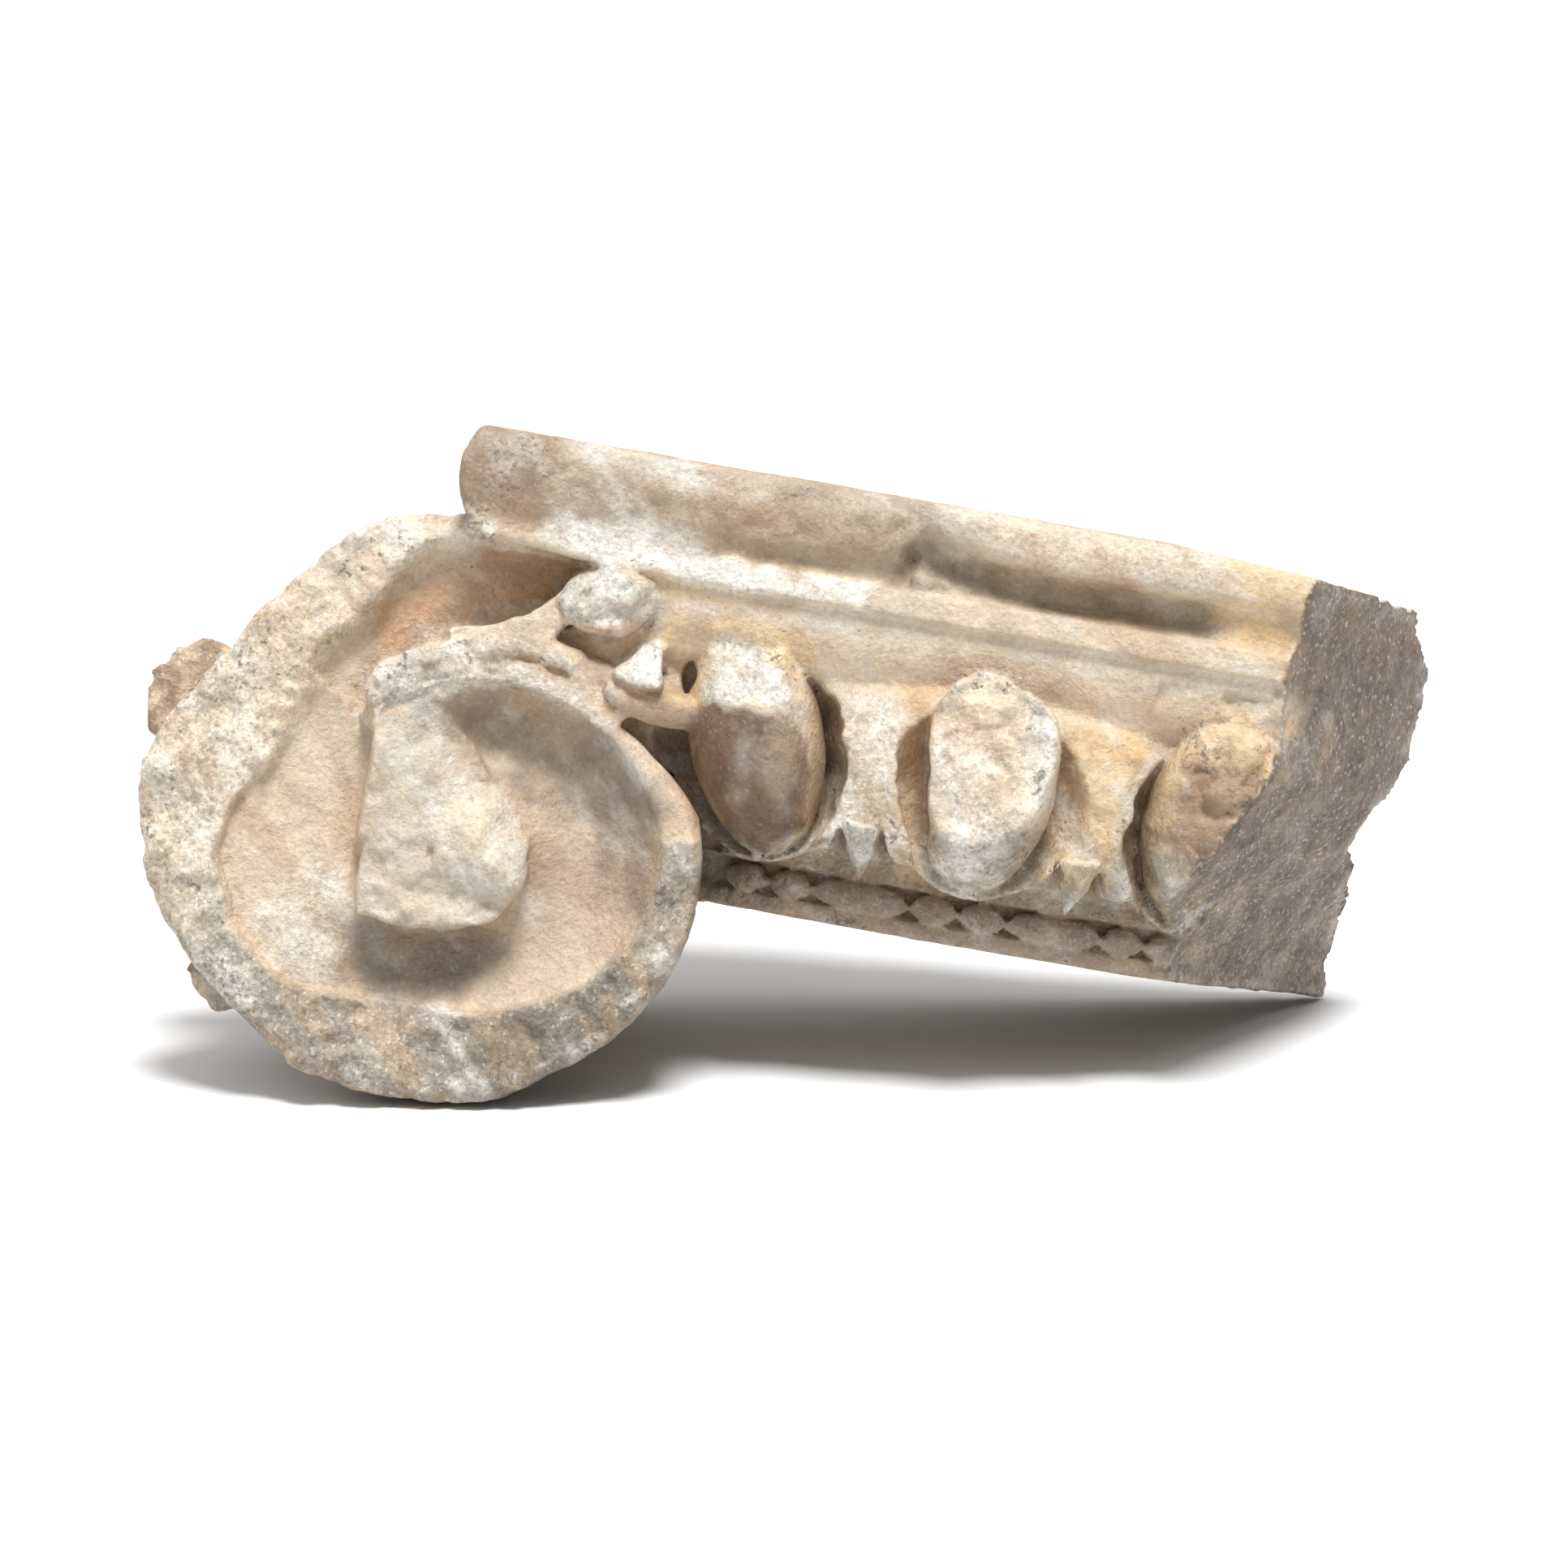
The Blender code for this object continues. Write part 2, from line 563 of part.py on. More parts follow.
def main():
    for old in list(bpy.data.objects):
        bpy.data.objects.remove(old, do_unlink=True)
    scene = bpy.context.scene
    whole = bpy.data.collections.new("Ionic capital fragment")
    tools = bpy.data.collections.new("Solids it is made from")
    scene.collection.children.link(whole)
    scene.collection.children.link(tools)
    tools.hide_render = True

    top = [(BLOCK_RIGHT, CORE[-1][1]), (BLOCK_RIGHT, CORE_TOP)]
    body = extruded(
        NAME,
        CORE + top,
        lambda p: (p[0], CORE_FRONT, p[1]),
        lambda p: (p[0], BLOCK_BACK, p[1]),
        whole,
    )
    corner = extruded(
        "corner",
        CORNER,
        lambda p: (p[0], CORNER_FRONT, p[1]),
        lambda p: (p[0], CORE_FRONT + 0.030, p[1]),
        tools,
    )
    section = ABACUS + [(BLOCK_BACK, ABACUS[-1][1]), (BLOCK_BACK, ABACUS[0][1])]
    abacus = extruded(
        "abacus",
        section,
        lambda p: (ABACUS_LEFT, p[0], p[1]),
        lambda p: (BLOCK_RIGHT, p[0], p[1]),
        tools,
    )
    worn = extruded(
        "worn_face",
        WORN_FACE + [(0.030, 0.179)],
        lambda p: (WORN_LEFT, p[0], p[1]),
        lambda p: (WORN_RIGHT if p[1] < 0.160 else WORN_END, p[0] + 0.004, p[1]),
        tools,
    )
    field = extruded(
        "field",
        FIELD,
        lambda p: (FIELD_LEFT, p[0], p[1]),
        lambda p: (BLOCK_RIGHT, p[0], p[1]),
        tools,
    )
    combine(body, [echinus(tools), dart_slab(tools), field], "UNION")
    combine(body, [egg(f"husk_{i}", i, HUSK_SCALE, HUSK_DROP, tools) for i in (-1, 0, 1)], "UNION")
    combine(body, [egg(f"cup_{i}", i, CUP_SCALE, 0.0, tools) for i in (-1, 0, 1)], "DIFFERENCE")
    combine(body, [corner, abacus, worn], "UNION")
    combine(body, [egg(f"egg_{i}", i, (1.0, 1.0, 1.0), 0.0, tools) for i in (-1, 0, 1)], "UNION")
    combine(body, [dart(i, tools) for i in (-1, 0)], "UNION")
    combine(body, beads(tools), "UNION")
    breaks = []
    for place, half, (lean, swing) in EGG_BREAKS:
        turn = Matrix.Rotation(math.radians(swing), 4, "Z") @ Matrix.Rotation(math.radians(lean), 4, "X")
        breaks.append(box(f"break_{len(breaks)}", place, half, turn, tools))
    combine(body, breaks + bead_drills(tools), "DIFFERENCE")

    platform = extruded(
        "platform",
        PLATFORM,
        lambda p: (p[0], PLATFORM_FRONT, p[1]),
        lambda p: (p[0], PLATFORM_BACK, p[1]),
        tools,
    )
    eye = lump("eye", EYE_LUMP[0], EYE_LUMP[1], Matrix.Identity(4), 14, 8, tools)
    combine(body, [volute(tools), band(tools)], "UNION")
    # The exact solver leaves this one join open, so the manifold solver makes it.
    combine(body, [platform], "UNION", "MANIFOLD")
    combine(body, [eye], "UNION")
    leaves = []
    for centre, half, turn in PALMETTE:
        spin = Matrix.Rotation(math.radians(turn), 4, "Y")
        leaves.append(lump(f"leaf_{len(leaves)}", centre, half, spin, 12, 8, tools))
    combine(body, leaves, "UNION")
    hole = drill(
        "leaf_hole",
        (LEAF_HOLE[0][0], -0.010, LEAF_HOLE[0][1]),
        (0.0, 1.0, 0.0),
        LEAF_HOLE_LENGTH,
        LEAF_HOLE[1],
        tools,
    )
    combine(body, [hole, end_fracture(tools), back_fracture(tools)], "DIFFERENCE")

    marble = bpy.data.materials.new("marble")
    marble.use_nodes = True
    shader = marble.node_tree.nodes["Principled BSDF"]
    shader.inputs["Base Color"].default_value = (0.69, 0.58, 0.46, 1.0)
    shader.inputs["Roughness"].default_value = 0.55
    body.data.materials.append(marble)

    bpy.context.view_layer.update()
    carved = body.evaluated_get(bpy.context.evaluated_depsgraph_get())
    mesh = carved.to_mesh()
    turn = resting_turn(mesh)
    placed = np.array([(turn @ v.co)[:] for v in mesh.vertices])
    carved.to_mesh_clear()
    low = placed.min(0)
    high = placed.max(0)
    middle = (low + high) / 2
    rest = bpy.data.objects.new("rest", None)
    rest.matrix_world = Matrix.Translation((-middle[0], -middle[1], -low[2])) @ turn
    whole.objects.link(rest)
    for part in [body] + list(tools.objects):
        part.parent = rest


main()
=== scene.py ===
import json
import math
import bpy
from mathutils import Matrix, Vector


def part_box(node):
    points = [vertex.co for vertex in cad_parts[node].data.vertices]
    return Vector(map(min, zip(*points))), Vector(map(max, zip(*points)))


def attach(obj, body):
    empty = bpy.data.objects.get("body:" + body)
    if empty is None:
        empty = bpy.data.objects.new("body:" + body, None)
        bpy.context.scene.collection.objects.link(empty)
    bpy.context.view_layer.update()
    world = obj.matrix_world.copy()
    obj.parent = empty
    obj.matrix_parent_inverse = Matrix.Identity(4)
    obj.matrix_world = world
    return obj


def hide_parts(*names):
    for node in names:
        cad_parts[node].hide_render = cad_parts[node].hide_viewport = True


bl_info = {
    "name": "Ionic capital fragment",
    "version": (1, 0, 0),
    "blender": (4, 5, 0),
    "location": "3D View > Sidebar > Capital",
    "description": "Carves and paints a broken marble Ionic capital and sets it on a pale floor",
    "category": "Object",
}

import bpy
import numpy as np
from bpy.props import FloatProperty, FloatVectorProperty, PointerProperty
from mathutils import Matrix, Vector, noise

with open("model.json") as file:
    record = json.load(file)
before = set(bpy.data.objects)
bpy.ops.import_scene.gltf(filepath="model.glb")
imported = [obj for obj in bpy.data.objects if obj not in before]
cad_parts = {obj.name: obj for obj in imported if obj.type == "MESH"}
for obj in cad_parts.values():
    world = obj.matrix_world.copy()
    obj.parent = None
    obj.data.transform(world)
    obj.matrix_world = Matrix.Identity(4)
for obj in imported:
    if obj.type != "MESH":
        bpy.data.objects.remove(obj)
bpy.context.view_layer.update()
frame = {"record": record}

# The stone is carved in millimetres in its own upright frame: X right from the column axis,
# Y back from the front plane, Z up from the bed. Then it is laid down as the solid lies.
NODE = "ionic_capital_fragment"
MM = 0.001
AXIS_Y = 240.0
PITCH = math.radians(22.5)
TOP_MOUNT = Vector((-40.0, 90.0, 180.0))
GRAIN = 1.45
BACK_GRAIN = 2.2
FRONT_DEPTH = 62.0
STONE_LOW = (-364.0, -24.0, -105.0)
STONE_HIGH = (200.0, 216.0, 186.0)
FACE_LIMIT = 190000
REACHES = (4.0, 8.0, 15.0)
CORNERS = tuple((i, j, k) for i in (0, 1) for j in (0, 1) for k in (0, 1))

# The abacus: its face's profiles as heights and depths, and the line of its lower arris
ARRIS = [
    (-140, 149), (-100, 150.5), (-62, 153), (-50, 157), (-41, 168), (-32, 166), (-16, 162), (0, 160),
    (20, 158), (60, 160),
]
ARRIS_HEIGHT = 160.0
MOULDED_FACE = [
    (120, 4), (129.4, 3.5), (131, 0), (131.6, -0.5), (141.4, -0.5), (142.2, 2.5), (144.5, 7), (150, 10),
    (155, 9.3), (158, 5.5), (160, -2), (162.5, -5.5), (168, -7), (173, -6.8), (177, -5), (180, -1.5),
]
WORN_FACE = [
    (120, 4), (129.4, 3.5), (131, 0), (131.6, -0.5), (140, -0.5), (144, -1), (152, -3), (162, -4.5),
    (171, -4.5), (177, -2.5), (180, 1),
]
ABACUS_TOP = [(60, 180), (80, 178.3), (120, 176), (200, 172)]
ABACUS_END = [(120, -228), (141, -228), (146, -230.5), (154, -233), (163, -234), (172, -232.5), (180, -229)]
ABACUS_UNDERSIDE = [(-230, 136), (-173, 131), (-160, 128), (-140, 121)]
CORNER = [(-229, 144), (-236, 134), (-232, 80), (-150, 50), (-110, 55), (-110, 144)]
CORNER_DEPTH = 29.0

# The echinus: heights and radii from the column's axis
ECHINUS = [
    (0.0, 209.0), (7.5, 209.0), (8.5, 205.0), (19.5, 205.0), (20.5, 210.0), (28.0, 210.0),
    (50.0, 220.0), (78.0, 230.0), (104.0, 232.0), (121.0, 229.0), (133.0, 236.0),
]
SLAB = [
    (31.0, 229.0), (36.0, 235.0), (52.0, 239.0), (78.0, 241.0), (98.0, 236.5), (108.0, 228.0),
]
FIELD = [(76, 60), (80, 44), (86, 28), (92, 19), (100, 12), (112, 6.5), (122, 4)]
FIELD_SLOPE = [(76, 0.35), (94, 0.5), (104, 0.95)]

# The eggs by their place in the row, counted from the column's middle: -1, 0 and 1
EGGS = (-1, 0, 1)
DARTS = (-0.5, 0.5)
EGG_RADIUS = 233.0
EGG_HEIGHT = 70.0
EGG_LEAN = math.radians(19.0)
EGG_HALF = {-1: (28.5, 27.0, 48.0), 0: (29.0, 27.0, 48.0), 1: (32.0, 27.0, 48.0)}
EGG_TAPER = 0.24
EGG_GRIT = {-1: 0.0, 0: 0.3, 1: 0.9}
EGG_SWING = {-1: math.radians(13.0), 0: math.radians(1.0), 1: math.radians(1.0)}
EGG_SHIFT = {-1: -6.0, 0: 1.5, 1: 12.0}
CUP_HALF = {-1: (42.0, 34.0, 43.0), 0: (47.0, 34.0, 45.0), 1: (44.0, 34.0, 45.0)}
CUP_OUT = {-1: 11.0, 0: 19.0, 1: 14.0}
CUP_DROP = 10.0
CUP_FOOT = 20.8
HUSK_HALF = (42.0, 30.0, 50.0)
GROOVE_LEFT = [(20, -19), (40, -26), (61, -34), (80, -38), (97, -41), (112, -42)]

# The darts between the eggs, with a notch at either side
NOTCH_TOP = 43.0
NOTCH_OUT = 8.5
NOTCH_RADIUS = 211.0
DART_RADIUS = 221.0
DART_LEAN = 0.75
DART_HALF = 6.5
DART_TOP = 44.0

# The bead row: length of each bead in pitches, and whether its ends draw in
BEADS = ((0.25, 1.0), (0.25, 1.0), (0.5, 0.0))
BEAD_START = -1.25
BEAD_REPEATS = 3
BEAD_RADIUS = 207.5
BEAD_HEIGHT = 13.4
BEAD_HALF = (5.2, 6.8)
HOLE_RADIUS = 1.9

# The volute, round its eye: lengths by the angle in degrees, anticlockwise from the right
EYE = (-199.5, 6.4)
OUTLINE = [
    (18, 91), (38, 81), (56.9, 76), (57, 136), (97, 136), (112, 142.5), (123, 142), (132, 138),
    (150, 134), (165, 141), (180, 147), (194, 141), (211, 130), (233, 121), (255, 112),
    (264, 108.3), (276, 105.5), (283, 104), (296, 97), (334, 94), (356, 92),
]
RIM_INNER = [
    (10, 74.5), (20, 74), (29, 72), (45, 71), (56.9, 71), (57, 123), (97, 123), (104, 127), (110, 126),
    (114, 122), (122, 110), (128, 105), (139, 104), (148, 99), (159, 94.6), (168, 94), (179, 105),
    (191, 110.6), (200, 107), (205, 109), (214, 104), (225, 97), (234, 85), (246, 74), (259, 67.6),
    (282, 67.7), (292, 66), (306, 67), (321, 70.4), (338, 69.7), (351, 72.4),
]
DISH_RADIUS = 71.0
RIM_DEPTH = [
    (0, 9), (18, 7), (56.9, 7), (57, 18), (97, 18), (110, 16), (122, 19), (150, 21), (200, 19), (250, 17),
    (300, 13), (335, 11),
]
LIP = [(100, 1.5), (116, 8.0), (152, 8.0), (172, 1.5)]
BAND_OUTER = [(50, 75), (70, 78.5), (90, 79.5), (100, 82), (121, 84), (136, 82)]
FLOOR_DEPTH = [(0, 25), (60, 27), (98, 28), (180, 28.5), (250, 27), (320, 25)]
WALL_TOP = [(0, 12), (16, 10), (120, 9), (136, 12), (150, 27), (235, 27), (255, 22), (300, 17), (340, 14)]
RAMP = [(0, 19), (45, 15), (85, 11), (125, 8), (142, 10), (155, 24), (270, 25), (330, 22)]
BOLSTER = [
    (0, 1.0, 0.0), (34, 0.998, 0.0), (40, 0.985, 0.0), (50, 0.87, 0.0), (68, 0.84, 0.3), (76, 0.82, 1.0),
    (94, 0.81, 1.0), (102, 0.80, 0.2), (140, 0.75, 0.0), (180, 0.69, 0.0), (260, 0.62, 0.0),
]
RING_LEFT = [
    (150, 0), (153, 36), (157, 44), (162, 47), (167, 44), (171, 36), (173.5, 0), (206, 0), (212, 33),
    (221, 33), (228, 0),
]

# The fractures at the right and at the back: heights and places, and their roughness
END_FACE = [
    (0, 66), (15, 66), (38, 78), (61, 99), (92, 116.5), (147, 118), (177, 123), (200, 124),
]
END_SLOPE = 0.54
BACK_FACE = [
    (-110, 200, 200), (0, 206, 203), (20, 207, 201), (36, 207, 187), (50, 206, 160), (68, 205, 129),
    (82, 204, 118), (96, 202, 127), (110, 200, 135), (130, 197, 140), (150, 194, 137), (165, 191, 112),
    (180, 188, 100),
]
BACK_SPAN = (-150.0, 175.0)
ROUGHNESS = 4.5
ROUGH_SCALE = 45.0
ROUGH_SEED = Vector((3.1, 7.7, 1.9))
FACET = 20.0

# The platform round the volute's eye
PLATFORM = [
    (-256, 60), (-250.7, 44), (-248, 26), (-249.5, 8), (-248, -10), (-248, -24), (-245, -28),
    (-228, -31), (-211, -29), (-200, -26), (-188, -21), (-179.5, -6), (-179, 4.5), (-182, 15.5),
    (-195, 30), (-212, 50), (-234, 66),
]

# The platform's swellings and hollows: depth, middle, spread across and up, and how steep the edge is
SWELLINGS = [
    (-3.5, -193, -5, 10.0, 9.0, 2), (-4.5, -204, 9, 19.0, 15.0, 1.5), (4.0, -199, -14, 17.0, 5.0, 1),
    (3.5, -206, 33.6, 3.2, 1.8, 1), (4.0, -219.5, 1.5, 1.4, 3.2, 1),
]


def table(points, angle, period=360.0):
    """A closed profile's values by the angle in degrees."""
    keys, values = zip(*points)
    return np.interp(angle, keys, values, period=period)


def curve(points, at):
    """A profile's values read between its points."""
    keys, values = zip(*points)
    return np.interp(at, keys, values)


def ease(value, low, high):
    """0 below low, 1 above high, smooth between; low may be above high to turn it round."""
    share = np.clip((value - low) / (high - low), 0.0, 1.0)
    return share * share * (3.0 - 2.0 * share)


def mix(a, b, share):
    return a + (b - a) * share


def soft_min(a, b, soft):
    if soft <= 0.0:
        return np.minimum(a, b)
    share = np.clip(0.5 + 0.5 * (b - a) / soft, 0.0, 1.0)
    return mix(b, a, share) - soft * share * (1.0 - share)


def soft_max(a, b, soft):
    return -soft_min(-a, -b, soft)


def read_lattice(values, low, share, wrap=-1):
    """A lattice's values between the eight points round each place."""
    total = 0.0
    for corner in CORNERS:
        weight = 1.0
        for step, part in zip(corner, share):
            weight = weight * (part if step else 1.0 - part)
        total = total + weight * values[tuple((place + step) & wrap for place, step in zip(low, corner))]
    return total


class Grit:
    """Smooth seeded noise between -1 and 1, read from a wrapped lattice of random numbers."""

    SIZE = 64

    def __init__(self, seed):
        maker = np.random.default_rng(seed)
        self.lattice = maker.uniform(-1.0, 1.0, (self.SIZE,) * 3).astype(np.float32)

    def one(self, x, y, z, scale):
        low = []
        share = []
        for value in (x, y, z):
            place = np.asarray(value, np.float32) / scale + 1000.0
            floor = np.floor(place)
            part = place - floor
            low.append(floor.astype(np.int32))
            share.append(part * part * (3.0 - 2.0 * part))
        return read_lattice(self.lattice, low, share, self.SIZE - 1)

    def __call__(self, x, y, z, scale, octaves=3, gain=0.5):
        total = 0.0
        size = 1.0
        for octave in range(octaves):
            total = total + size * self.one(x + 17.3 * octave, y, z - 9.1 * octave, scale)
            scale = scale * 0.47
            size *= gain
        return total


def polygon(x, z, points):
    """Signed distance to a closed outline, negative inside it."""
    nearest = np.full(np.broadcast(x, z).shape, 1e9, np.float32)
    inside = np.zeros(nearest.shape, bool)
    for (ax, az), (bx, bz) in zip(points, points[1:] + points[:1]):
        ex, ez = bx - ax, bz - az
        px, pz = x - ax, z - az
        along = np.clip((px * ex + pz * ez) / (ex * ex + ez * ez), 0.0, 1.0)
        nearest = np.minimum(nearest, (px - along * ex) ** 2 + (pz - along * ez) ** 2)
        if az != bz:
            crossing = (az > z) != (bz > z)
            inside ^= crossing & (x < ax + ex * (z - az) / ez)
    return np.where(inside, -1.0, 1.0) * np.sqrt(nearest)


def ellipsoid(x, y, z, half):
    """Near distance to an ellipsoid round the origin."""
    share = np.sqrt((x / half[0]) ** 2 + (y / half[1]) ** 2 + (z / half[2]) ** 2)
    slope = np.sqrt((x / half[0] ** 2) ** 2 + (y / half[1] ** 2) ** 2 + (z / half[2] ** 2) ** 2)
    return share * (share - 1.0) / np.maximum(slope, 1e-6)


class Block:
    """A block of stone as distances on a grid; the grid is fine at the carved front."""

    def __init__(self):
        low, high = STONE_LOW, STONE_HIGH
        self.x = np.arange(low[0], high[0], GRAIN, dtype=np.float32)
        self.z = np.arange(low[2], high[2], GRAIN, dtype=np.float32)
        depths = [low[1]]
        while depths[-1] < high[1]:
            depths.append(depths[-1] + (GRAIN if depths[-1] < FRONT_DEPTH else BACK_GRAIN))
        self.y = np.array(depths, np.float32)
        self.far = np.full((len(self.x), len(self.y), len(self.z)), 40.0, np.float32)

    def window(self, low, high):
        spans = []
        for axis, a, b in zip((self.x, self.y, self.z), low, high):
            spans.append(slice(int(np.searchsorted(axis, a)), int(np.searchsorted(axis, b))))
        x = self.x[spans[0]][:, None, None]
        y = self.y[spans[1]][None, :, None]
        z = self.z[spans[2]][None, None, :]
        return tuple(spans), x, y, z

    def add(self, low, high, shape, soft=0.0):
        spans, x, y, z = self.window(low, high)
        self.far[spans] = soft_min(self.far[spans], shape(x, y, z).astype(np.float32), soft)

    def cut(self, low, high, shape, soft=0.0):
        spans, x, y, z = self.window(low, high)
        self.far[spans] = soft_max(self.far[spans], -shape(x, y, z).astype(np.float32), soft)


def everywhere():
    return (-999.0, -999.0, -999.0), (999.0, 999.0, 999.0)


def abacus_depth(x, z):
    """Depth of the abacus face: a full moulding at the right, worn to a rough face at the left."""
    lift = (curve(ARRIS, x) - ARRIS_HEIGHT) * ease(z, 141.0, 149.0) * ease(z, 182.0, 172.0)
    moulded = curve(MOULDED_FACE, z - lift)
    worn = curve(WORN_FACE, z)
    kept = 0.3 * ease(x, -140.0, -90.0) + 0.7 * ease(x, -62.0, -26.0)
    return mix(worn, moulded, kept * (1.0 - 0.6 * ease(x, 72.0, 96.0)))


def carve_abacus(block):
    """The abacus and the block of stone under its left end."""
    def shape(x, y, z):
        front = soft_max(abacus_depth(x, z) - y, z - curve(ABACUS_TOP, x), 2.5)
        return soft_max(front, np.maximum(curve(ABACUS_END, z) - x, curve(ABACUS_UNDERSIDE, x) - z), 4.0)

    block.add((-245, -24, 110), (210, 230, 190), shape)

    def corner(x, y, z):
        return np.maximum(CORNER_DEPTH - y, polygon(x, z, CORNER))

    block.add((-245, 20, 45), (-100, 230, 150), corner)


def around(x, y):
    """Distance from the column's axis."""
    return np.sqrt(x * x + (y - AXIS_Y) ** 2)


def rotate(a, b, turn):
    """Two coordinates as seen from axes that are turned."""
    return math.cos(turn) * a + math.sin(turn) * b, -math.sin(turn) * a + math.cos(turn) * b


def egg_space(x, y, z, index, out):
    """A point as seen by an egg: across, away from the viewer, and up the egg."""
    u, v = rotate(x, y - AXIS_Y, index * PITCH)
    v, w = rotate(v + EGG_RADIUS + out, z - EGG_HEIGHT, EGG_LEAN)
    u, w = rotate(u - EGG_SHIFT[index], w, EGG_SWING[index])
    return u, v, w


def egg_distance(x, y, z, index, half, out=0.0, up=0.0):
    """Near distance to an egg, or to its husk or cup, which have other half sizes."""
    u, v, w = egg_space(x, y, z, index, out)
    high = (w - up) / half[2]
    widen = 1.0 + EGG_TAPER * np.clip(high + 0.1, -1.0, 0.0)
    across = np.sqrt((u / (widen * half[0])) ** 2 + (v / (widen * half[1])) ** 2)
    share = (across ** 2.2 + np.abs(high) ** 2.7) ** (1.0 / 2.3)
    return (share - 1.0) * half[1] * 0.9


def field_depth(z):
    """Depth of the flat field behind the eggs' tops."""
    return curve(FIELD, z)


def egg_window(index):
    """The part of the block that an egg and its cup take up."""
    middle = EGG_RADIUS * math.sin(index * PITCH)
    front = AXIS_Y - (EGG_RADIUS + 42.0) * math.cos(index * PITCH)
    return (middle - 62, front, 8), (middle + 62, front + 125, 132)


def carve_echinus(block, grit):
    """The echinus with the field, the slabs, the cups and the eggs."""
    def ground(x, y, z):
        return np.maximum((around(x, y) - curve(ECHINUS, z)) * 0.93, np.maximum(-z, z - 133.0))

    block.add((-232, 0, -3), (210, 230, 134), ground)

    def field(x, y, z):
        depth = field_depth(z)
        limit = np.maximum(z - 123.0, np.maximum(76.0 - z, -146.0 - x))
        return np.maximum((depth - y) * curve(FIELD_SLOPE, z), limit)

    block.add((-150, 4, 74), (210, 120, 124), field, 2.0)

    def slab(x, y, z):
        face = (around(x, y) - curve(SLAB, z) - 0.9 * grit(x, 3, z, 16.0, 3)) * 0.95
        return soft_max(face, np.maximum(31.0 + 1.2 * grit(x, 7, 0, 7.0, 2) - z, z - 110.0), 1.5)

    block.add((-112, -10, 25), (160, 120, 114), slab, 2.5)
    for index in EGGS:
        def husk(x, y, z, i=index):
            limit = around(x, y) - curve(SLAB, z) - 1.0
            return soft_max(egg_distance(x, y, z, i, HUSK_HALF, -2.0, -1.0), limit, 1.5)

        block.add(*egg_window(index), husk, 1.5)
    for index in EGGS:
        def cup(x, y, z, i=index):
            hollow = egg_distance(x, y, z, i, CUP_HALF[i], CUP_OUT[i], -CUP_DROP)
            hollow = hollow + 1.2 * grit(x, 22, z, 13.0, 3)
            hollow = np.maximum(hollow, x - 100.0)
            if i == 0:
                wall = curve(GROOVE_LEFT, z) + 1.2 * grit(x, 24, z, 9.0, 3)
                hollow = soft_max(hollow, wall - x, 1.5)
            return np.maximum(hollow, CUP_FOOT - z)

        block.cut(*egg_window(index), cup, 1.2)

        def whole_egg(x, y, z, i=index):
            form = egg_distance(x, y, z, i, EGG_HALF[i]) + EGG_GRIT[i] * grit(x, 20, z, 14.0, 3)
            if i == -1:
                top = ellipsoid(x + 104.0 + 0.25 * (z - 104.0), y - 14.0, z - 103.5, (18.0, 16.0, 18.5))
                form = soft_min(form, top + 1.0 * grit(x, 23, z, 10.0, 3), 3.0)
            if i == 0:
                form = soft_max(form, -24.0 + (78.0 - z) * 0.17 + 0.8 * grit(0, 21, z, 8.0, 3) - x, 2.0)
                form = soft_max(form, 0.75 * z + 0.3 * x - 85.0, 3.0)
            return form

        block.add(*egg_window(index), whole_egg, 0.8)


def carve_darts(block):
    """The darts' points, with a notch at either side of each."""
    for index in DARTS:
        turn = index * PITCH

        def notch(x, y, z, t=turn):
            u, v = rotate(x, y - AXIS_Y, t)
            half = np.clip((NOTCH_TOP - z) * 0.42, 0.0, 6.0)
            return np.maximum(np.abs(np.abs(u) - NOTCH_OUT) - half, v + NOTCH_RADIUS)

        middle = 235.0 * math.sin(turn)
        block.cut((middle - 22, -8, 16), (middle + 22, 60, 44), notch, 1.0)
    for index in DARTS:
        turn = index * PITCH

        def dart(x, y, z, t=turn):
            u, v = rotate(x, y - AXIS_Y, t)
            v = v + DART_RADIUS + (z - 20.0) * DART_LEAN
            half = np.clip((z - 19.5) * 0.5, 0.0, DART_HALF)
            return np.maximum((np.abs(u) + np.abs(v) * 0.8 - half) * 0.7, z - DART_TOP)

        middle = 225.0 * math.sin(turn)
        block.add((middle - 20, -8, 15), (middle + 20, 60, 46), dart, 0.8)


def bead_row():
    """Where each bead starts, how long it is and how its ends draw in, in pitches of the eggs."""
    edge = BEAD_START
    for _ in range(BEAD_REPEATS):
        for share, pinch in BEADS:
            yield edge, share, pinch
            edge += share


def carve_beads(block):
    """The bead row, with a drilled hole at each joint."""
    for edge, share, pinch in bead_row():
        turn = (edge + share / 2) * PITCH
        half = share * PITCH * BEAD_RADIUS / 2 * 1.05

        def bead(x, y, z, t=turn, h=half, p=pinch):
            u, v = rotate(x, y - AXIS_Y, t)
            waist = 1.0 - 0.25 * p * np.clip(np.abs(u) / h, 0.0, 1.0)
            return ellipsoid(u, (v + BEAD_RADIUS) / waist, (z - BEAD_HEIGHT) / waist, (h, *BEAD_HALF))

        middle = BEAD_RADIUS * math.sin(turn)
        block.add((middle - half - 3, 15, 4), (middle + half + 3, 90, 22), bead, 0.8)
    for edge, share, _ in bead_row():
        turn = (edge + share) * PITCH
        x0 = (BEAD_RADIUS + 4) * math.sin(turn)
        y0 = AXIS_Y - (BEAD_RADIUS + 4) * math.cos(turn)

        def hole(x, y, z, a=x0, b=y0):
            return np.maximum(np.sqrt((x - a) ** 2 + ((z - 16.6) * 0.8) ** 2) - HOLE_RADIUS, y - b - 7.0)

        block.cut((x0 - 6, y0 - 14, 10), (x0 + 6, y0 + 14, 24), hole, 0.6)


